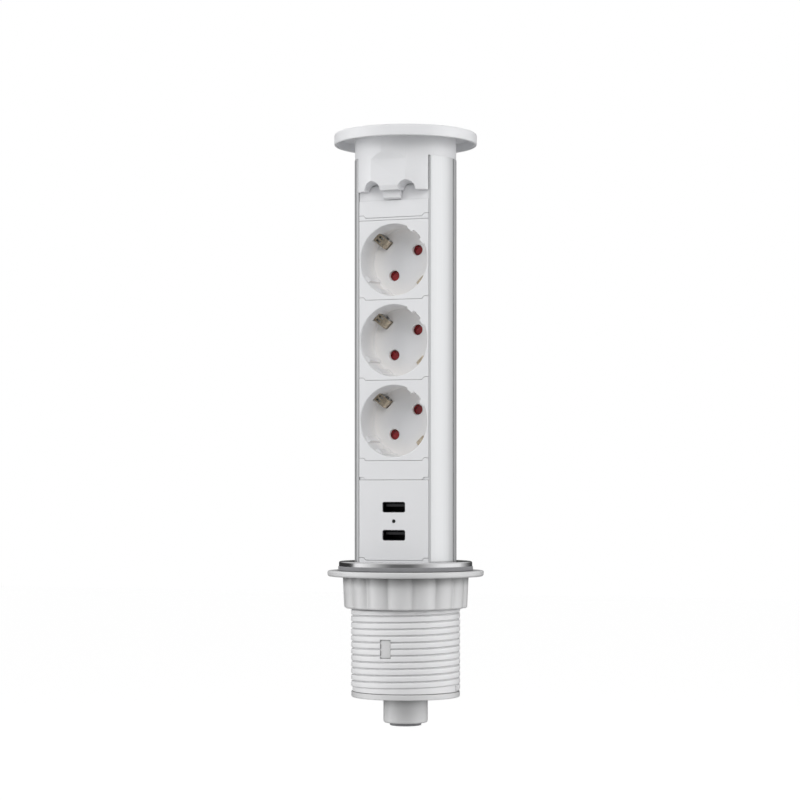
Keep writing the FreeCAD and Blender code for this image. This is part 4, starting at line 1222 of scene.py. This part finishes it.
def port_tongue(z):
    """A tongue on its stop, with grooves along its underside, and the four contacts in them."""
    width, thick, rise, tip = TONGUE
    back = PORT_DEPTH[1]
    low, high = z + rise - thick / 2, z + rise + thick / 2
    tongue = block("port_tongue", (-width / 2, width / 2), (tip, back), (low, high))
    round_edges(tongue, lambda e: lies_at(e, 1, tip), TONGUE_EDGE)
    half, start, deep = CONTACT_GROOVE
    start, end = tip + start, back - TONGUE_BACK_T
    contacts = []
    for x in CONTACTS_X:
        cut(tongue, block("groove", (x - half, x + half), (start, end), (low - 1, low + deep)))
        wide = half - CONTACT_GAP
        strip = block("contact", (x - wide, x + wide), (start + CONTACT_GAP, end - CONTACT_GAP),
                      (low + CONTACT_EDGE, low + deep))
        contacts.append(softened(strip, CONTACT_EDGE, 1))
    inner = PORT_SHELL[3] + FIT
    wide, tall = PORT_SHELL[0] / 2 - inner, PORT_SHELL[1] / 2 - inner
    stop = block("stop", (-wide, wide), (end, back), (z - tall, z + tall))
    return outward(unite(tongue, stop)), joined(contacts)


def port_shell(z):
    width, height, corner, wall = PORT_SHELL
    slot_half, slot_depth = LEAF_SLOT
    shell = rounded_bar("port_shell", width, height, PORT_DEPTH, z, corner)
    cut(shell, rounded_bar(
        "inside", width - 2 * wall, height - 2 * wall, past(*PORT_DEPTH), z, corner - wall / 2))
    for side, turn in ((-1, (90, 180, -90)), (1, (90, 0, 90))):
        level = z + side * (height - wall) / 2
        for x in (-LEAF_X, LEAF_X):
            cut(shell, block("slot", (x - slot_half, x + slot_half), slot_depth, (level - wall, level + wall)))
            leaf = placed(sheet("leaf", LEAF, (-1, 1)), turn=turn, at=(x, 0, level - side * wall / 3))
            unite(shell, leaf)
    return outward(shell)


def make_ports(heights):
    """Metal shells with sprung leaves, and in each a tongue with four contacts."""
    drop = (0, 0, heights[1] - heights[0])
    shell = port_shell(heights[0])
    other = copied(shell, "port_shell_lower", at=drop)
    # The port shells carry painted shade: near-black steel
    delivered(shell, "port_shell_upper", "tower", "dark_nickel", "usb_port_upper")
    delivered(other, "port_shell_lower", "tower", "dark_nickel", "usb_port_lower")
    tongue, contacts = (joined([piece, copied(piece, "twin", at=drop)]) for piece in port_tongue(heights[0]))
    delivered(tongue, "port_tongues", "tower", "black_plastic", "usb_tongues")
    delivered(contacts, "port_contacts", "tower", "nickel_brass")


def usb_front(ports, light):
    low, high = span_of("usb_plate")
    width, height, corner = USB_OPEN
    plate = front_plate("plate_usb", low, high + JOINT_GAP, eared=False)
    depth = past(FACE_Y, FACE_Y + PLATE_T + FLANGE_T)
    for z in ports:
        cut(plate, rounded_bar("opening", width, height, depth, z, corner))
    cut(plate, post("light_hole", USB_LIGHT_R + FIT, depth, (0, light), "Y", sides=32))
    round_edges(plate, lambda e: is_front_outline(e) and all(
        abs(v.co.x) / MM < width / 2 + SNAP and low + 10 < v.co.z / MM < high - 10 for v in e.verts), USB_EDGE)
    delivered(outward(plate), "plate_usb", "tower", "white_plastic", "usb_plate")


class SOCKETTOWER_OT_usb_unit(bpy.types.Operator):
    """Make the charging plate with its two ports and the status light"""

    bl_idname = "socket_tower.usb_unit"
    bl_label = "Charging unit"

    def execute(self, context):
        ports = [middle_of(node) for node in ("usb_port_upper", "usb_port_lower")]
        light = middle_of("light_pipe")
        usb_front(ports, light)
        make_ports(ports)
        dome = [(share * USB_LIGHT_R, FACE_Y + depth) for share, depth in LIGHT_DOME]
        lens = turned("light_lens", [(USB_LIGHT_R, PORT_DEPTH[1]), *dome, (0.1, FACE_Y)], sides=32, ends="FILL")
        delivered(placed(lens, turn=(-90, 0, 0), at=(0, 0, light)), "light_lens", "tower", "clear_plastic",
                  "light_pipe", angle=50)
        return {"FINISHED"}


def thread_ridge(start):
    """Wind the thread's ridge round the sleeve, sunk a little in its wall."""
    root = SLEEVE_ROOT_R
    crest = root + size("thread_height")
    half = [(crest - depth, width) for depth, width in THREAD_RIDGE]
    half += [(root, THREAD_HALF), (root - THREAD_SUNK, THREAD_HALF)]
    thread = drawn("thread", [(radius, -height) for radius, height in reversed(half)] + half)
    placed(thread, turn=(90, 0, 0), at=(0, 0, start))
    pitch = size("thread_pitch")
    modified(thread, "SCREW", axis="Z", angle=math.radians(360), screw_offset=pitch * MM,
             iterations=math.floor((-start - THREAD_ENDS[1]) / pitch), steps=THREAD_STEPS, render_steps=THREAD_STEPS)
    open_mesh(thread)
    bpy.ops.mesh.fill_holes(sides=0)
    close_mesh()
    return outward(thread)


def make_sleeve(flange_low, flange_top):
    low = span_of("threaded_sleeve")[0]
    bore, root, shank, flange = SLEEVE_BORE_R, SLEEVE_ROOT_R, SLEEVE_SHANK_R, SLEEVE_FLANGE_R
    sleeve = turned("sleeve_screw", [
        (bore, low), (root, low), (root, SHANK_LOW), (shank, SHANK_LOW), (shank, flange_low), (flange, flange_low),
        (flange, flange_top), (bore, flange_top)], [(root, low, SLEEVE_EDGE), (bore, low, SLEEVE_EDGE)], 3)
    ridge = thread_ridge(low + THREAD_ENDS[0])
    pieces = [cut(piece, block("window", *SLEEVE_WINDOW)) for piece in (sleeve, ridge)]
    delivered(joined(pieces), "sleeve_screw", "collar", "sleeve_plastic", "threaded_sleeve", angle=50)


class SOCKETTOWER_OT_collar(bpy.types.Operator):
    """Turn the collar in the worktop: trim ring, gasket and the threaded sleeve"""

    bl_idname = "socket_tower.collar"
    bl_label = "Collar"

    def execute(self, context):
        low, high, radius = round_box("trim_ring")
        under = high - RING_SHEET
        skirt = radius - RING_SHEET
        ring = turned("ring_trim", [
            (SLEEVE_BORE_R, under), (skirt, under), (skirt, low), (radius, low), (radius, high), (SLEEVE_BORE_R, high)],
            [(radius, high, RING_EDGES[0]), (SLEEVE_BORE_R, high, RING_EDGES[1])], 6, sides=192)
        delivered(ring, "ring_trim", "collar", "polished_steel", "trim_ring")
        low, high, radius = round_box("gasket")
        bore = SLEEVE_SHANK_R + FIT
        seal = turned("seal_gasket", [(radius, low), (radius, high), (bore, high), (bore, low)],
                      [(radius, low, GASKET_EDGE), (radius, high, GASKET_EDGE)])
        delivered(seal, "seal_gasket", "collar", "grey_rubber", "gasket")
        make_sleeve(high, under)
        return {"FINISHED"}


def lobed_nut():
    low, high = span_of("clamp_nut")
    lobe = 360 / NUT_LOBES
    reach = NUT_TOP_R - NUT_LOBE_R
    ring = []
    for i in range(NUT_LOBES * NUT_LOBE_STEPS):
        off = math.radians(lobe * ((i % NUT_LOBE_STEPS) / NUT_LOBE_STEPS - 0.5))
        far = reach * math.cos(off) + math.sqrt(NUT_LOBE_R ** 2 - (reach * math.sin(off)) ** 2)
        turn = math.radians(NUT_FIRST_VALLEY + lobe * i / NUT_LOBE_STEPS)
        ring.append((far * math.sin(turn), -far * math.cos(turn)))
    edge = NUT_LOW_EDGE
    outline = [(NUT_TOP_R, high)] + arc((NUT_LOW_R - edge, low + edge), edge, 0, -90, 5)
    nut = turned("nut_clamp", outline, ends="FILL", ring=ring)

    def is_valley(e):
        if len(e.link_faces) != 2 or abs(e.calc_face_angle(0)) < math.radians(20):
            return False
        return abs(direction(e).z) > 0.3 and not any(abs(face.normal.z) > 0.9 for face in e.link_faces)

    round_edges(nut, is_valley, size("valley_edge"), 4)
    return outward(cut(nut, post("bore", NUT_BORE_R, past(low, high), sides=AROUND)))


class SOCKETTOWER_OT_clamp(bpy.types.Operator):
    """Turn the clamp washer and shape the lobed ring nut"""

    bl_idname = "socket_tower.clamp"
    bl_label = "Clamp"

    def execute(self, context):
        low, high, radius = round_box("clamp_washer")
        bore = NUT_BORE_R
        rings = [(*place, edge) for place, edge in zip(((radius, low), (radius, high), (bore, low)), WASHER_EDGES)]
        washer = turned("washer_clamp", [(bore, low), (radius, low), (radius, high), (bore, high)], rings, 6,
                        sides=AROUND_WIDE)
        delivered(washer, "washer_clamp", "washer", "clamp_plastic", "clamp_washer")
        delivered(lobed_nut(), "nut_clamp", "nut", "clamp_plastic", "clamp_nut", angle=35)
        return {"FINISHED"}


def foot_screws(top):
    """Pan-head screws with a cross recess, under the foot."""
    head_r, head_h = SCREW_HEAD
    low = top - head_h
    screw = turned("foot_screws", [
        (SCREW_R, span_of("bottom_screws")[1]), (SCREW_R, top), (head_r, top),
        *((head_r - inside, low + up) for inside, up in SCREW_CROWN), (0.4, low)], sides=40, ends="FILL")
    half, narrow, deep = SCREW_CROSS
    for turn in (0, 90):
        slot = block("cross", (-half, half), (-narrow, narrow), (low - 1, low + deep))
        cut(screw, placed(slot, turn=(0, 0, turn)))
    placed(outward(screw), turn=(0, 0, SCREW_TURN), at=(-CHANNEL_POS, CHANNEL_POS, 0))
    return joined([screw, copied(screw, "twin", at=(2 * CHANNEL_POS, 0, 0))])


def grommet_seal(floor):
    wide, thick = GROMMET_FLANGE
    low, ledge, high = floor - thick, floor + GLAND_WALL, floor + GLAND_WALL + thick
    return turned("grommet_seal", [
        (CORD_BORE_R, low), (wide, low), (wide, floor), (GROMMET_R, floor), (GROMMET_R, ledge), (wide, ledge),
        (wide, high), (CORD_BORE_R, high)],
        [(wide, low, GROMMET_EDGES[0]), (CORD_BORE_R, low, GROMMET_EDGES[1])], sides=64)


def gland_boss(low, top):
    neck_r, neck_h = GLAND_NECK
    neck_top = top + FOOT_T + neck_h
    wall = GLAND_WALL
    hole = GROMMET_R + 0.05
    return outward(turned("gland_boss", [
        (hole, low), (GLAND_R, low), (GLAND_R, top), (neck_r, top), (neck_r, neck_top), (neck_r - wall, neck_top),
        (neck_r - wall, top - wall), (GLAND_R - wall, top - wall), (GLAND_R - wall, low + wall), (hole, low + wall)],
        [(GLAND_R, low, GLAND_EDGES[0]), (neck_r, neck_top, GLAND_EDGES[1])], 5, sides=96))


def foot_disc(low):
    radius = span_of("bottom_cap", 0)[1]
    spigot_r, wall, height = FOOT_SPIGOT
    top = low + FOOT_T
    hole = GLAND_NECK[0] + FIT
    disc = turned("foot_disc", [
        (radius, low), (radius, top), (spigot_r, top), (spigot_r, top + height), (spigot_r - wall, top + height),
        (spigot_r - wall, top), (hole, top), (hole, low)],
        [(radius, low, FOOT_EDGES[0]), (radius, top, FOOT_EDGES[1]), (hole, low, FOOT_EDGES[1])])
    above = (top + SNAP, top + height + 1)
    cut(disc, block("front", (-FAR, FAR), (-FAR, FOOT_FRONT_Y), above))
    for side in (-1, 1):
        spot = (side * CHANNEL_POS, CHANNEL_POS)
        cut(disc, post("boss", BOSS_R + 0.3, above, spot, sides=32),
            post("hole", SCREW_HOLE_R, past(low, top), spot, sides=32))
    return outward(disc)


class SOCKETTOWER_OT_foot(bpy.types.Operator):
    """Turn the foot with its cable gland and grommet, and drive its two screws"""

    bl_idname = "socket_tower.foot"
    bl_label = "Foot"

    def execute(self, context):
        low = span_of("bottom_cap")[0]
        floor = span_of("cable_gland")[0]
        delivered(foot_disc(low), "foot_disc", "tower", "clamp_plastic", "bottom_cap")
        delivered(gland_boss(floor, low), "gland_boss", "tower", "clamp_plastic", "cable_gland")
        delivered(grommet_seal(floor), "grommet_seal", "tower", "grey_rubber", "cable_grommet")
        delivered(foot_screws(low), "foot_screws", "tower", "steel", "bottom_screws")
        return {"FINISHED"}


class SOCKETTOWER_OT_inner_parts(bpy.types.Operator):
    """Give every construction node its finish"""

    bl_idname = "socket_tower.inner_parts"
    bl_label = "Inner parts"

    def execute(self, context):
        known = [row["slot"] for row in frame["record"]["materials"]]
        for node in frame["nodes"].values():
            packed = [place.material.name.split(".")[0] for place in node.material_slots if place.material]
            slots = [name for name in packed if name in known]
            if not slots:
                raise RuntimeError("no finish is known for " + node.name)
            for place in node.material_slots:
                place.material = finish_named(slots[0])
        return {"FINISHED"}


OPERATORS = (
    SOCKETTOWER_OT_stage,
    SOCKETTOWER_OT_cap,
    SOCKETTOWER_OT_top_housing,
    SOCKETTOWER_OT_profile,
    SOCKETTOWER_OT_plates,
    SOCKETTOWER_OT_sockets,
    SOCKETTOWER_OT_earth_clips,
    SOCKETTOWER_OT_shutters,
    SOCKETTOWER_OT_usb_unit,
    SOCKETTOWER_OT_collar,
    SOCKETTOWER_OT_clamp,
    SOCKETTOWER_OT_foot,
    SOCKETTOWER_OT_inner_parts,
)


class SOCKETTOWER_PT_pieces(bpy.types.Panel):
    """Buttons for the studio and for each group of pieces"""

    bl_label = "Socket Tower"
    bl_idname = "SOCKETTOWER_PT_pieces"
    bl_space_type = "VIEW_3D"
    bl_region_type = "UI"
    bl_category = "Socket Tower"

    def draw(self, context):
        scene = context.scene
        for settings in (scene.socket_tower_sizes, scene.socket_tower_colours, scene.socket_tower_studio):
            box = self.layout.box()
            for name in settings.bl_rna.properties.keys():
                if name not in ("rna_type", "name"):
                    box.prop(settings, name)
        for operator in OPERATORS:
            self.layout.operator(operator.bl_idname)


CLASSES = (TowerSizes, TowerColours, StudioSettings, *OPERATORS, SOCKETTOWER_PT_pieces)


def register():
    for item in CLASSES:
        bpy.utils.register_class(item)
    bpy.types.Scene.socket_tower_sizes = PointerProperty(type=TowerSizes)
    bpy.types.Scene.socket_tower_colours = PointerProperty(type=TowerColours)
    bpy.types.Scene.socket_tower_studio = PointerProperty(type=StudioSettings)


def unregister():
    del bpy.types.Scene.socket_tower_studio
    del bpy.types.Scene.socket_tower_colours
    del bpy.types.Scene.socket_tower_sizes
    for item in reversed(CLASSES):
        bpy.utils.unregister_class(item)


def main():
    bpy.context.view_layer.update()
    register()
    for operator in OPERATORS:
        group, name = operator.bl_idname.split(".")
        getattr(getattr(bpy.ops, group), name)()
    clear_selection()


if __name__ == "__main__":
    main()
